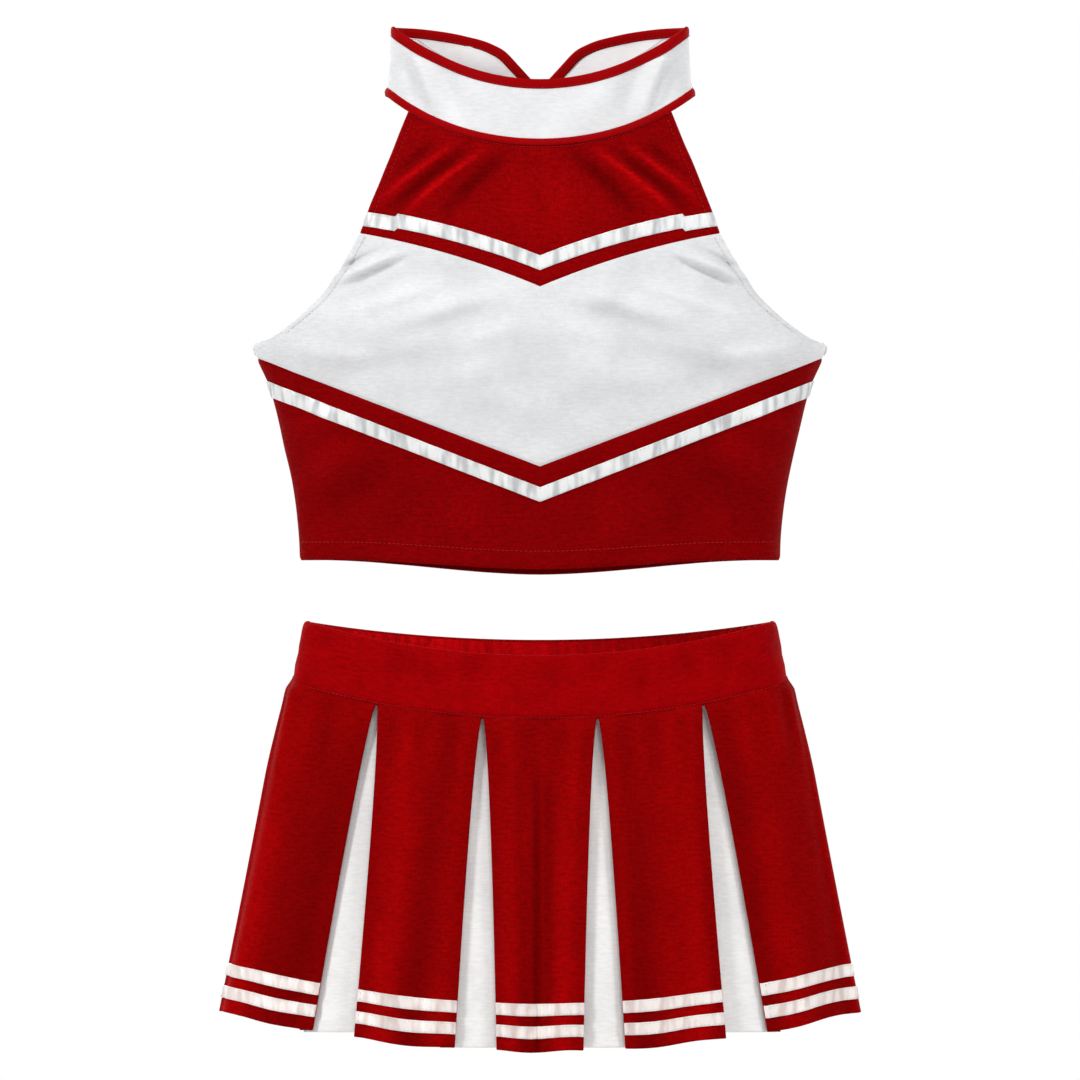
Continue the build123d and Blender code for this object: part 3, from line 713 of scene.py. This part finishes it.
def build_top(m):
    # Name: lower edge, upper edge, height, material, flat size, cloth area, strength of painted fold shade.
    panels = {
        "front_yoke": (upper_seam, collar_foot, 110, "yoke_red", (0.25, 0.135), 0.0225, 0.3),
        "front_middle_panel": (lower_seam, upper_seam, 130, "white", (0.405, 0.17), 0.042, 0.03),
        "front_lower_panel": (hem_front, lower_seam, 95, "top_red", (0.41, 0.165), 0.047, 0.05),
        "back_middle_panel": (lower_seam, back_top, 60, "white", (0.405, 0.085), 0.0175, 0.0),
        "back_lower_panel": (hem_back, lower_seam, 95, "top_red", (0.41, 0.165), 0.048, 0.0),
    }
    for name, (low, high, height, colour, flat, area, painted_shade_strength) in panels.items():
        face = name.split("_")[0]
        width = (TOP.a, True) if face == "back" else (front_reach, False, 1.6)
        panel = top_panel(name, between(low, high, height, 201, *width), low, high, m[colour], face, painted_shade_strength)
        if "lower" in name:
            panel = join(name, [panel, turned_hem(low, face == "back", m[colour])])
        slot = "white_knit" if colour == "white" else "top_red_knit"
        piece(panel, "top", slot, name, flat=flat, area=area, held="hung")
    ribbons = {
        "front_upper_ribbon": (upper_ribbon, 31, front_reach, False, (0.27, 0.01)),
        "front_lower_ribbon": (lower_ribbon, 35, TOP.a, False, (0.43, 0.01)),
        "back_ribbon": (lower_ribbon, 39, TOP.a, True, (0.43, 0.01)),
    }
    lines = []
    for name, (edge, seed, reach, back, flat) in ribbons.items():
        ribbon = top_ribbon(name, edge, seed, m["satin"], reach, back)
        piece(ribbon, "top", "top_ribbon", name, flat=flat, held="stretched")
        lines += [edge_line(edge, rise, 0.85, reach, back) for rise in (0.9, TOP_RIBBON - 0.9)]
    piece(stitches("top_ribbon_stitching", lines, m["white_thread"], 2.9, 2.0, 0.2), "top", "top_ribbon")
    hems = [edge_line(hem_front, HEM_TURN - 1.6, 0.05), edge_line(hem_back, HEM_TURN - 1.6, 0.05, back=True)]
    piece(stitches("top_hem_stitching", hems, m["red_thread"]), "top", "top_red_knit")
    white_lines, red_lines = [], []
    for side, word in ((-1, "left"), (1, "right")):
        strip = armhole_strip(f"armhole_hem_{word}", side, m["white"])
        piece(strip, "top", "white_knit", f"armhole_hem_{word}")
        for low, high, lines in ((ARMPIT_LEVEL + 9, 293, white_lines), (297, 381, red_lines)):
            z = np.linspace(low, high, 200)
            phi = TOP.angle(side * (armhole(z) - ARMHOLE_TURN / 1.25), z)
            lines.append(TOP.line(phi, z, top_rest(phi, z) + 0.25))
        seam = side_seam(f"top_side_seam_{word}", side, 70, 208, TOP, -2.6, m["top_red"])
        piece(seam, "top", "top_red_knit", f"top_side_seam_{word}")
        overlock = seam_threads(f"top_side_overlock_{word}", side, 70, 208, TOP, -4.2, m["white_thread"])
        piece(overlock, "top", "label")
    piece(stitches("armhole_stitching_white", white_lines, m["white_thread"]), "top", "white_knit")
    piece(stitches("armhole_stitching_red", red_lines, m["red_thread"]), "top", "top_red_knit")
    phi = math.pi + sweep(241)
    band = bound_edge("back_top_band", phi, back_top(TOP.a(ARMPIT_LEVEL) * np.sin(phi)), m["white"])
    piece(band, "top", "white_knit", "back_top_band")
    band_line = edge_line(back_top, -BINDING + 1.4, 0.6, back=True, span=0.98)
    piece(stitches("back_band_stitching", [band_line], m["white_thread"]), "top", "white_knit")
    piece(label("top_label", TOP, 90, 126, 24, m["label"]), "top", "label", "top_label")


# ---------------------------------------------------------------- collar
# Cross-section of the piping at the collar's foot, as in BINDING_SHAPE.
PIPING_SHAPE = [(5.0, -0.2), (4.9, 0.8), (3.9, 1.5), (2.5, 1.75), (1.1, 1.5), (0.1, 0.8), (0.0, -0.2),
                (2.5, -0.3)]


def build_collar_front(m):
    phi, z = between(lambda x: collar_foot(x) - 1.5, lambda x: collar_top(x) - 1.2, 42, 161)
    crown = np.sin(np.clip((z - collar_foot(TOP.a(z) * np.sin(phi))) / 40, 0, 1) * math.pi)
    panel = worn("collar_front", TOP, phi, z, top_drape(phi, z) + 0.5 * crown, 1.6, m["collar_white"])
    piece(panel, "top", "white_knit", "collar_front", flat=(0.235, 0.078), area=0.0105, held="stretched")
    phi = sweep(201)
    binding = bound_edge("collar_front_binding", phi, collar_top(TOP.a(430) * np.sin(phi)), m["binding"])
    piece(binding, "top", "red_binding", "collar_front_binding")
    foot = collar_foot(TOP.a(390) * np.sin(phi))
    piping = bound_edge("collar_front_piping", phi, foot, m["binding"], shape=PIPING_SHAPE)
    piece(piping, "top", "red_binding", "collar_front_piping")
    side = sweep(260) * 0.985
    top_edge, foot_edge = collar_top(TOP.a(430) * np.sin(side)), collar_foot(TOP.a(385) * np.sin(side))
    slant = np.cos(np.arctan2(np.gradient(top_edge), TOP.pace(side, top_edge) * np.gradient(side)))
    for word, z, lift, radius, slot in (
            ("binding", top_edge - 5.9 / np.maximum(slant, 0.5), 0.75, 0.22, "red_binding"),
            ("foot", foot_edge - 6.0, 0.35, 0.2, "top_red_knit")):
        line = TOP.line(side, z, top_rest(side, z) + lift)
        piece(stitches(f"collar_{word}_stitching", [line], m["red_thread"], 2.6, 1.8, radius), "top", slot)


collar_back_top = curve(COLLAR_BACK_TOP)


def back_angle(run, z, side, fitted=False):
    """The angle of a point `run` mm from the middle of the back; side -1 is the left half. `fitted` runs end
    exactly at the side line."""
    quarter = TOP.arc(math.pi, z) - TOP.arc(QUARTER, z)
    stretch = 1 + (quarter - COLLAR_SIDE_RUN) / COLLAR_SIDE_RUN * run / COLLAR_SIDE_RUN if fitted else 1
    return TOP.angle_at(TOP.arc(math.pi, z) - side * run * stretch, z)


def collar_back_foot(run):
    return 378.8 + 12.2 * (run / COLLAR_SIDE_RUN) ** 1.4


def build_collar_half(m, side, word):
    body = f"collar_{word}_half"
    run, share = np.meshgrid(np.linspace(COLLAR_SIDE_RUN, CLOSURE_END, 90)[::side], shares(45, step=2.2))
    low, high = collar_back_foot(run) + 0.8, collar_back_top(run) - 1.2
    z = low + share * (high - low)
    bow = 0.5 * np.sin(share * math.pi) + 0.35 * swells(run, z, 51 + side, 28)
    points = TOP.at(back_angle(run, z, side, True), z, bow)
    panel = cloth(f"collar_{word}", points, np.stack([run, z], axis=-1), 1.6, m["collar_white"])
    outer_faces = (points.shape[0] - 1) * (points.shape[1] - 1)
    # The inside face gets the lighter white: painted light.
    give_inside_painted_light(panel, m["collar_inside_painted_light"], outer_faces, 2 * outer_faces)
    parts, lines = [], []
    for kind, edge, flip in (("top", collar_back_top, 1), ("foot", collar_back_foot, -1)):
        along = np.linspace(COLLAR_SIDE_RUN, CLOSURE_END, 150)
        phi = back_angle(along, edge(along), side, True)
        parts.append(bound_edge(kind, phi, edge(along), m["binding"], flip=flip, drape=False))
        along = np.linspace(COLLAR_SIDE_RUN - 2, CLOSURE_END + 4, 220)
        level = edge(along) - 5.9 * flip * np.sqrt(1 + np.gradient(edge(along), along) ** 2)
        phi = back_angle(along, level, side)
        lines += [TOP.line(phi, level, 0.75), TOP.line(phi, level, -2.15, -1)]
    binding = join(f"collar_{word}_binding", parts)
    sewing = stitches(f"collar_{word}_stitching", lines, m["red_thread"], 2.6, 1.8, 0.22)
    along = np.linspace(COLLAR_SIDE_RUN - 16, 24, 160)
    level = np.minimum(403 + 26 * (along / 85) ** 2.2, collar_back_top(along) - 7.5)
    inside = [TOP.line(back_angle(along, level, side), level, -1.85, -1)]
    lining = stitches(f"collar_{word}_lining_stitching", inside, m["grey_thread"], 2.2, 2.0, 0.2)
    piece(lining, body, "white_knit")
    for thing in (panel, binding, sewing):
        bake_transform(thing)
    piece(panel, None, "white_knit", f"collar_{word}", flat=(0.115, 0.062), area=0.0052, held="stretched")
    piece(binding, None, "red_binding", f"collar_{word}_binding")
    piece(sewing, None, "red_binding")


def back_patch(name, low_run, high_run, bottom, top, lift, thickness, material, corner=0.0):
    """A small flat piece on the outside of the back; runs are positive on the right half."""
    run, z = np.meshgrid(np.linspace(high_run, low_run, 44), np.linspace(bottom, top, 16))
    if corner:
        middle, half = (bottom + top) / 2, (top - bottom) / 2
        from_end = np.minimum(run - low_run, high_run - run)
        squeeze = np.sqrt(np.clip(1 - np.clip((corner - from_end) / corner, 0, 1) ** 2, 0.05, 1))
        z = middle + (z - middle) * (1 - corner / half * (1 - squeeze))
    points = TOP.at(back_angle(run, z, 1), z, lift)
    return cloth(name, points, np.stack([run, z], axis=-1), thickness, material)


TAB_MIDDLE, TAB_HALF = 389.0, 6.0
# The closure's patches: first and last distance along the back, half height, lift, thickness, corner radius.
PATCHES = {
    "closure_tab": (-24.5, 15.5, TAB_HALF, 4.2, 1.3, 4.0),
    "closure_tab_foot": (-23.5, -5.5, TAB_HALF - 1, 2.9, 1.6, 0.0),
    "hook_tape": (3.5, 13.5, 4.5, 2.85, 0.7, 0.0),
    "loop_tape": (3.5, 13.5, 4.5, 1.95, 0.75, 0.0),
}


def build_closure(m):
    for name, (low_run, high_run, half, lift, thickness, corner) in PATCHES.items():
        material = m[name.split("_")[0] if "tape" in name else "white"]
        patch = back_patch(name, low_run, high_run, TAB_MIDDLE - half, TAB_MIDDLE + half, lift, thickness,
                           material, corner)
        slot = name if "tape" in name else "white_knit"
        nodes = [] if name.endswith("foot") else [name]
        piece(patch, "collar_right_half" if name == "loop_tape" else "collar_left_half", slot, *nodes)
    lines = []
    for run0, z0, run1, z1 in ((-22, 384.6, -8, 384.6), (-8, 384.6, -8, 393.4), (-8, 393.4, -22, 393.4),
                               (-22, 393.4, -22, 384.6), (-22, 384.6, -8, 393.4), (-22, 393.4, -8, 384.6)):
        run, z = np.linspace(run0, run1, 30), np.linspace(z0, z1, 30)
        lines.append(TOP.line(back_angle(run, z, 1), z, 4.25))
    sewing = stitches("closure_stitching", lines, m["white_thread"], 2.4, 1.7, 0.2)
    piece(sewing, "collar_left_half", "white_knit")


# ---------------------------------------------------------------- waistband
# Cross-section of the folded waistband: share of its height, and lift off the form.
BAND_SHAPE = [(-0.03, 0.6), (0.0, 1.3), (0.03, 1.9), (0.08, 2.2), (0.16, 2.2), (0.3, 1.9), (0.45, 1.6),
              (0.6, 1.4), (0.74, 1.2), (0.85, 1.05), (0.92, 0.75), (0.965, 0.3), (0.99, -0.6), (1.0, -1.9),
              (0.99, -3.2), (0.965, -4.2), (0.92, -4.7), (0.82, -4.9), (0.7, -5.0), (0.56, -5.0),
              (0.42, -5.0), (0.28, -4.9), (0.14, -4.7), (0.04, -4.5)]
# Its first rows show outside, and its inside rows from the second number below on get a lighter red: painted
# light against the shade inside the band.
OUTER_ROWS, PAINTED_LIGHT_FROM = 13, 15
BAND_HEIGHT = 46.0


def gathers(run, share, seed, spacing, height):
    """Ruched cloth on an elastic: uneven vertical ridges that wander and merge."""
    wander = run + 2.2 * np.sin(share * 4 + run / 31) + 1.2 * np.sin(share * 9 + run / 17)
    first = puckers(wander, seed, spacing, height, 1000)
    second = puckers(wander + 2.5, seed + 1, spacing * 0.8, height * 0.8, 1000)
    mix = ease(share * 1.4 - 0.2)
    return first * (1 - mix) + second * mix


def waistband_half(m, face):
    """One face of the waistband: smooth outside, ruched on the elastic inside."""
    sides, rows = sweep(321), len(BAND_SHAPE)
    phi = sides[None, :] + MIDDLE[face]
    share, lift = (np.array(column)[:, None] for column in zip(*BAND_SHAPE))
    x = 168 * np.sin(phi)
    low, high = WAIST_SEAM[face](x), WAIST_EDGE[face](x)
    z = low + share * (high - low)
    run = WAIST.arc(phi, z) - (WAIST.arc(math.pi, z) if face == "back" else 0)
    body = np.clip(np.sin(np.clip(share, 0, 1) * math.pi), 0, 1) ** 0.5
    outside = np.arange(rows)[:, None] < OUTER_ROWS
    ruche = gathers(run, share, 61 if face == "front" else 67, 7.5, 2.6)
    ruche = ruche * (1 - ease((share - 0.955) / 0.04)) * ease(share / 0.1)
    soft = (0.35 if face == "front" else 0.6) * body * gathers(run, share, 71, 13, 1.2)
    soft = soft + 0.5 * swells(run, z * 2, 73, 40) * body
    creased = ease((share - 0.25) / 0.4) * ease((1.02 - share) / 0.2) * body
    soft = soft - 1.3 * creased * puckers(run + 9 * share, 75, 34, 1.0, 1000)
    lift = lift + np.where(outside, soft, -ruche) + seam_dip((QUARTER - np.abs(sides)) * BAND_HEIGHT, 0.5)
    step = np.abs(np.diff(BAND_SHAPE, axis=0)) @ [BAND_HEIGHT, 1]
    travelled = np.concatenate([[0], np.cumsum(step)])[:, None]
    coords = np.stack([run, travelled + 0 * run], axis=-1)
    # Painted shade from the fold heights: on the outside and on the gathers inside.
    painted_shade = np.where(outside, 0.14 * (soft - 0.5), -0.2 * (ruche - 1.2))
    band = cloth(f"waistband_{face}", WAIST.at(phi + 0 * z, z, lift), coords, CLOTH, m["waist_red"],
                 np.clip(painted_shade, -0.4, 0.25))
    columns = len(sides) - 1
    # The inside rows get the lighter red: painted light.
    give_inside_painted_light(band, m["waist_inside_painted_light_red"], PAINTED_LIGHT_FROM * columns, (rows - 1) * columns)
    piece(band, "skirt", "waist_red_knit", f"waistband_{face}", flat=(0.39, 0.105), held="gathered",
          rests_on=["waistband_elastic"])


def build_waistband(m):
    for face in MIDDLE:
        waistband_half(m, face)
    bpy.data.objects["waistband_elastic"].material_slots[0].material = m["elastic"]
    seams, threads = [], []
    for side in (-1, 1):
        seams.append(side_seam(f"seam{side}", side, -14, 16, WAIST, -6.6, m["waist_red"]))
        threads.append(seam_threads(f"thread{side}", side, -14, 16, WAIST, -8.3, m["white_thread"]))
    piece(join("waistband_side_seams", seams), "skirt", "waist_red_knit", "waistband_side_seams")
    piece(join("waistband_overlock", threads), "skirt", "label")
    piece(label("skirt_label", WAIST, -40, -4, 20, m["label"]), "skirt", "label", "skirt_label")


# ---------------------------------------------------------------- skirt
def opening(k, s):
    """Left and right edge of the front's k-th opening at share s down the skirt, as x."""
    left, right = INSERT_HEMS[k]
    middle = PLEAT_TOPS[k] + ((left + right) / 2 - PLEAT_TOPS[k]) * s
    half = (right - left) / 2 * np.maximum(s, 0) ** OPENING_POWER
    return middle - half, middle + half


def side_opening_angle(s, z):
    return np.arcsin(np.clip(SIDE_OPENING * np.maximum(s, 0) ** OPENING_POWER / SKIRT.b(z), 0, 1))


def skirt_place(face, low_edge, high_edge, u, s, rise=0.4):
    """Angle and height at share u across and s down, between two edges that are functions of (s, z)."""
    seam = WAIST_SEAM[face]
    z = -40 + s * -230.0
    for _ in range(12):
        low, high = low_edge(s, z), high_edge(s, z)
        phi = low + (high - low) * u
        x = SKIRT.a(z) * np.sin(phi)
        z = seam(x) + (skirt_hem(x) + rise - seam(x)) * s
    return phi, z


def pleat_edges(face, k):
    """The two edges of pleat k (0 to 4 from the left) as angles."""
    def low(s, z):
        return -QUARTER + side_opening_angle(s, z) if k == 0 else SKIRT.angle(opening(k - 1, s)[1], z)

    def high(s, z):
        return QUARTER - side_opening_angle(s, z) if k == 4 else SKIRT.angle(opening(k, s)[0], z)

    if face == "front":
        return low, high
    return (lambda s, z: math.pi - high(s, z)), (lambda s, z: math.pi - low(s, z))


def insert_middle(face, k):
    """The middle of opening k as an angle."""
    def middle(s, z):
        phi = SKIRT.angle(sum(opening(k, s)) / 2, z)
        return phi if face == "front" else math.pi - phi

    return middle


def pleat_columns(count):
    """From one folded edge to the other: share across, distance out from the edge, drop below the face."""
    r = PLEAT_RADIUS
    turn = np.radians([0, 25, 50, 75, 105, 130, 155, 180])
    right = [(r * math.sin(t) - r, r - r * math.cos(t)) for t in turn]
    right += [(-r - d, 2 * r) for d in (1.5, 4, PLEAT_RETURN)]
    columns = [(0.0, -d, drop) for d, drop in reversed(right)]
    columns += [(share, r * (1 - 2 * share), 0.0) for share in np.linspace(0, 1, count)[1:-1]]
    columns += [(1.0, d, drop) for d, drop in right]
    return np.array(columns)


def pleat_lift(face, k, u, s):
    """Gentle vertical folds of one pleat, which open towards the hem."""
    draw = np.random.default_rng((100 if face == "front" else 140) + k)
    phase, second = draw.uniform(0, 2 * math.pi), draw.uniform(0, 2 * math.pi)
    turns, inside = 2 * math.pi * u, np.clip(u, 0, 1)
    crown = 1.1 * np.sin(inside * math.pi)
    if k in (0, 4):
        outer = 1 - inside if (k == 0) == (face == "front") else inside
        crown = crown + 3.0 * ease(s / 0.3) * outer**1.5
    waves = 2.5 * np.sin(1.15 * turns + phase + 0.8 * s) + 0.9 * np.sin(2.1 * turns + second + 1.5 * s)
    gathered = 0.8 * bell(s - 0.1, 0.13) * ease(s / 0.04) * np.sin(3.1 * turns + second)
    shoulder = 0.4 - 3.8 * (1 - ease((s + 0.012) / 0.045))
    quiet = ease(inside * 7) * ease((1 - inside) * 7)
    lift = crown * ease(s * 8) + quiet * (waves * (0.25 + 0.75 * s) + gathered) + shoulder
    if k == 2 and face == "front":
        creases = bell(u - 0.47, 0.035) + 0.7 * bell(u - 0.6, 0.05) + 0.5 * bell(u - 0.3, 0.06)
        lift = lift - 2.2 * ease(s * 3) * creases
    return lift


def pleat_surface(face, k, columns, s, lift=0.0):
    """Points, cloth coordinates and painted fold shade of pleat k over rows s, for the given columns."""
    u, out, drop = (columns[:, i][None, :] for i in range(3))
    s = np.asarray(s, float)[:, None]
    phi, z = skirt_place(face, *pleat_edges(face, k), u + 0 * s, s + 0 * u)
    phi = phi + out / SKIRT.pace(phi, z)
    folds = pleat_lift(face, k, u + 0 * s, s + 0 * u)
    wave_hem = 0.8 * np.sin(u * 7 + k) * ease((s - 0.8) / 0.2)
    points = SKIRT.at(phi, z + wave_hem, folds - drop + lift)
    coords = np.stack([SKIRT.arc(phi, z) + drop * 2, z], axis=-1)
    # Painted shade: lighter where the folds stand out, darker where they sink.
    painted_shade = np.clip(0.12 * (folds - np.mean(folds, axis=1, keepdims=True)), -0.35, 0.35)
    return points, coords, painted_shade


# Shares down the skirt at which pleats and inserts have rows, from the hem up.
PLEAT_ROWS = np.concatenate([[-0.012, -0.006, 0, 0.006, 0.014, 0.025, 0.04, 0.06],
                             np.linspace(0.085, 0.985, 56), [0.993, 1.0]])[::-1]
INSERT_ROWS = np.concatenate([[0.0, 0.01, 0.025], np.linspace(0.045, 0.985, 50), [0.993, 1.0]])[::-1]
PLEAT_LENGTH = 240.0


def hang(sheet, name, slot, seam_z, flat, area, faces):
    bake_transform(sheet)
    piece(sheet, None, slot, name, flat=flat, area=area, held="hung",
          rests_on=[f"waistband_{face}" for face in faces])


def pleat_ribbon(m, face, k, on_top, rise, seed):
    """A ribbon across a pleat, `rise` mm above its hem, and the sewing lines along its four edges."""
    s_low, s_high = 1 - rise / PLEAT_LENGTH, 1 - (rise + SKIRT_RIBBON) / PLEAT_LENGTH
    share = shares(SKIRT_RIBBON, (0, 0.5, 1.1, 1.8, 2.6), 1.1)
    s = s_low + (s_high - s_low) * share
    base, flat, _ = pleat_surface(face, k, on_top, s)
    along = flat[..., 0] - flat[..., 0].mean()
    bump = puckers(along, seed, 11, 0.5, 90) * (1 - np.abs(2 * share - 1) ** 3)[:, None]
    outward = pleat_surface(face, k, on_top, s, 1.0)[0] - base
    points = base + outward * (0.28 + RIBBON_CLOTH + bump)[..., None]
    coords = np.stack([flat[..., 0], share[:, None] * SKIRT_RIBBON + 0 * flat[..., 0]], axis=-1)
    sewing = []
    for edge in (0.9, SKIRT_RIBBON - 0.9):
        row = [s_low + (s_high - s_low) * edge / SKIRT_RIBBON]
        sewing.append([pleat_surface(face, k, on_top, row, lift)[0][0] for lift in (0.85, 1.85)])
    for u in (0.035, 0.965):
        column, down = np.array([[u, 0.0, 0.0]]), np.linspace(s_low, s_high, 12)
        sewing.append([pleat_surface(face, k, column, down, lift)[0][:, 0] for lift in (0.95, 1.95)])
    return cloth("ribbon", points, coords, RIBBON_CLOTH, m["skirt_satin"]), sewing


def build_pleat(m, face, k):
    name = f"{face}_pleat_{k + 1}"
    points, coords, painted_shade = pleat_surface(face, k, pleat_columns(44), PLEAT_ROWS)
    panel = cloth(name, points, coords, 1.0, m["pleat_red"], painted_shade)
    seam_z = WAIST_SEAM[face](abs(PLEAT_TOPS[0]) if k in (0, 4) else 0)
    hang(panel, name, "pleat_red_knit", seam_z, (0.1, 0.25), 0.0225, [face])
    columns = pleat_columns(60)
    on_top = columns[columns[:, 2] < PLEAT_RADIUS * 1.2]
    seed = 200 + (k if face == "front" else 4 - k) * 3
    made = [pleat_ribbon(m, face, k, on_top, rise, seed + int(rise)) for rise in RIBBON_HEIGHTS]
    ribbons, sewing = zip(*made)
    piece(join(f"{name}_ribbons", ribbons), f"{name}_body", "skirt_ribbon", f"{name}_ribbons",
          flat=(0.0775, 0.017), held="stretched", rests_on=[name])
    threads = stitches(f"{name}_stitching", sewing[0] + sewing[1], m["white_thread"], 2.9, 2.0, 0.19)
    piece(threads, f"{name}_body", "skirt_ribbon")


def build_insert(m, face, k):
    name, middle = f"{face}_insert_{k + 1}", insert_middle(face, k)
    width = (INSERT_HEMS[k][1] - INSERT_HEMS[k][0]) / 2
    across, s = np.meshgrid(np.linspace(-1, 1, 34), INSERT_ROWS)
    half = 2.2 + (width + PLEAT_RETURN - 1.0) * s**OPENING_POWER
    phi, z = skirt_place(face, middle, middle, 0 * across, s, rise=2.0)
    phi = phi + across * half / SKIRT.pace(phi, z)
    draw = np.random.default_rng((180 if face == "front" else 190) + k)
    soft = 0.8 * s * np.sin(across * 3.1 + draw.uniform(0, 6)) + 1.0 * s * (1 - across**2)
    pinch = -1.6 * bell(s - 0.03, 0.08) * (1 - across**2)
    panel = worn(name, SKIRT, phi, z, -INSERT_DEPTH + soft + pinch - 0.5, INSERT_CLOTH, m["insert_white_painted_light"])
    hang(panel, name, "white_pleat_knit", WAIST_SEAM[face](PLEAT_TOPS[k]), (0.05, 0.24), 0.0085, [face])


def build_side_insert(m, side, word):
    name = f"side_insert_{word}"
    across, s = np.meshgrid(np.linspace(-1, 1, 48), INSERT_ROWS)
    half = 3.5 + 36.0 * s**OPENING_POWER
    seam_z, hem_z = -20.5, skirt_hem(222)
    z = seam_z + (hem_z + 2.0 - seam_z) * s
    phi = side * QUARTER + across * half / SKIRT.pace(QUARTER, z) * (SKIRT.b(z) / SKIRT.a(z)) ** 0.25
    depth = -INSERT_DEPTH - 0.4 + (0.7 * s - 1.2 * bell(s, 0.09)) * (1 - across**2)
    z = z + (skirt_hem(SKIRT.a(z) * np.sin(phi)) - hem_z) * s
    panel = worn(name, SKIRT, phi, z, depth, INSERT_CLOTH, m["insert_white_painted_light"])
    hang(panel, name, "white_pleat_knit", seam_z, (0.075, 0.24), 0.009, MIDDLE)


def build_seam_line(m):
    """The stitching in the waist seam, between waistband and pleats."""
    lines = []
    for face, middle in MIDDLE.items():
        phi = sweep(500) * 0.99 + middle
        lines.append(WAIST.line(phi, WAIST_SEAM[face](170 * np.sin(phi)) + 0.2, 1.9))
    piece(stitches("waist_seam_stitching", lines, m["red_thread"], 3.0, 2.3, 0.2), "skirt", "waist_red_knit")


# ---------------------------------------------------------------- stage, light and camera
AMBIENT = 0.22
LIGHT_TARGET = (0, 0, 0.08)
# Soft lights: place and size in metres, power in watts.
LIGHTS = {
    "key": ((-2.6, -1.7, 1.25), 0.8, 66),
    "high": ((0.4, -1.1, 2.5), 0.8, 32),
    "fill": ((2.8, -1.9, 0.4), 1.0, 42),
    "back_left": ((-1.9, 2.2, 1.3), 1.6, 48),
    "back_right": ((2.0, 2.0, 0.9), 1.6, 34),
}
FLOOR_LEVEL, FLOOR_RADIUS, FLOOR_GLOW = -1050.0, 6000.0, 0.62


def build_stage():
    turn = np.linspace(0, 2 * math.pi, 96, endpoint=False)
    points = [(FLOOR_RADIUS * math.cos(t), FLOOR_RADIUS * math.sin(t), FLOOR_LEVEL) for t in turn]
    material = bpy.data.materials.new("pale_floor")
    material.use_nodes = True
    tree = material.node_tree
    feed(tree, tree.nodes["Principled BSDF"], {
        "Base Color": (0.9, 0.9, 0.9, 1), "Roughness": 0.9, "Emission Color": (1, 1, 1, 1),
        "Emission Strength": camera_switch(tree, 0.0, FLOOR_GLOW)})
    add_mesh("floor", points, [list(range(len(turn)))], material, smooth=False)
    world = bpy.data.worlds.new("studio")
    bpy.context.scene.world = world
    world.use_nodes = True
    tree = world.node_tree
    strength = camera_switch(tree, AMBIENT, 1.0)
    feed(tree, tree.nodes["Background"], {"Color": (1, 1, 1, 1), "Strength": strength})


def put(name, data, place, target):
    """Adds a lamp or camera that looks from a place at a target."""
    thing = bpy.data.objects.new(name, data)
    bpy.context.scene.collection.objects.link(thing)
    thing.location = place
    thing.rotation_euler = (Vector(target) - Vector(place)).to_track_quat("-Z", "Y").to_euler()
    return thing


def build_lights():
    for name, (place, size, power) in LIGHTS.items():
        light = bpy.data.lights.new(name, "AREA")
        light.shape = "DISK"
        light.size = size
        light.energy = power
        put(name, light, place, LIGHT_TARGET)


def build_camera():
    """A long lens, level, straight at the front: 756 mm of the object's plane fill the picture."""
    distance, view_width, middle_height = 24.0, 0.756, 0.0805
    camera = bpy.data.cameras.new("camera")
    camera.sensor_width = 36.0
    camera.lens = camera.sensor_width * distance / view_width
    camera.clip_end = 100.0
    place, target = (0, -distance, middle_height), (0, 0, middle_height)
    bpy.context.scene.camera = put("camera", camera, place, target)


# ---------------------------------------------------------------- the scene
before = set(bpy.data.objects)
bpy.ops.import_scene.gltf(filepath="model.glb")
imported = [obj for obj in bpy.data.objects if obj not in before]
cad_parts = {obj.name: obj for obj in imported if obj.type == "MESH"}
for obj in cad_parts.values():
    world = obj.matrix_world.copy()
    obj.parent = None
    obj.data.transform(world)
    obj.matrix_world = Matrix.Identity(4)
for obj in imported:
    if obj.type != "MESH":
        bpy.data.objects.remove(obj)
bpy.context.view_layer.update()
bpy.context.scene.view_settings.view_transform = "Standard"
stuff = materials()
build_top(stuff)
build_collar_front(stuff)
for half_side, half_word in ((-1, "left"), (1, "right")):
    build_collar_half(stuff, half_side, half_word)
    build_side_insert(stuff, half_side, half_word)
build_closure(stuff)
build_waistband(stuff)
build_seam_line(stuff)
for skirt_face in MIDDLE:
    for number in range(5):
        build_pleat(stuff, skirt_face, number)
    for number in range(4):
        build_insert(stuff, skirt_face, number)
build_stage()
build_lights()
build_camera()
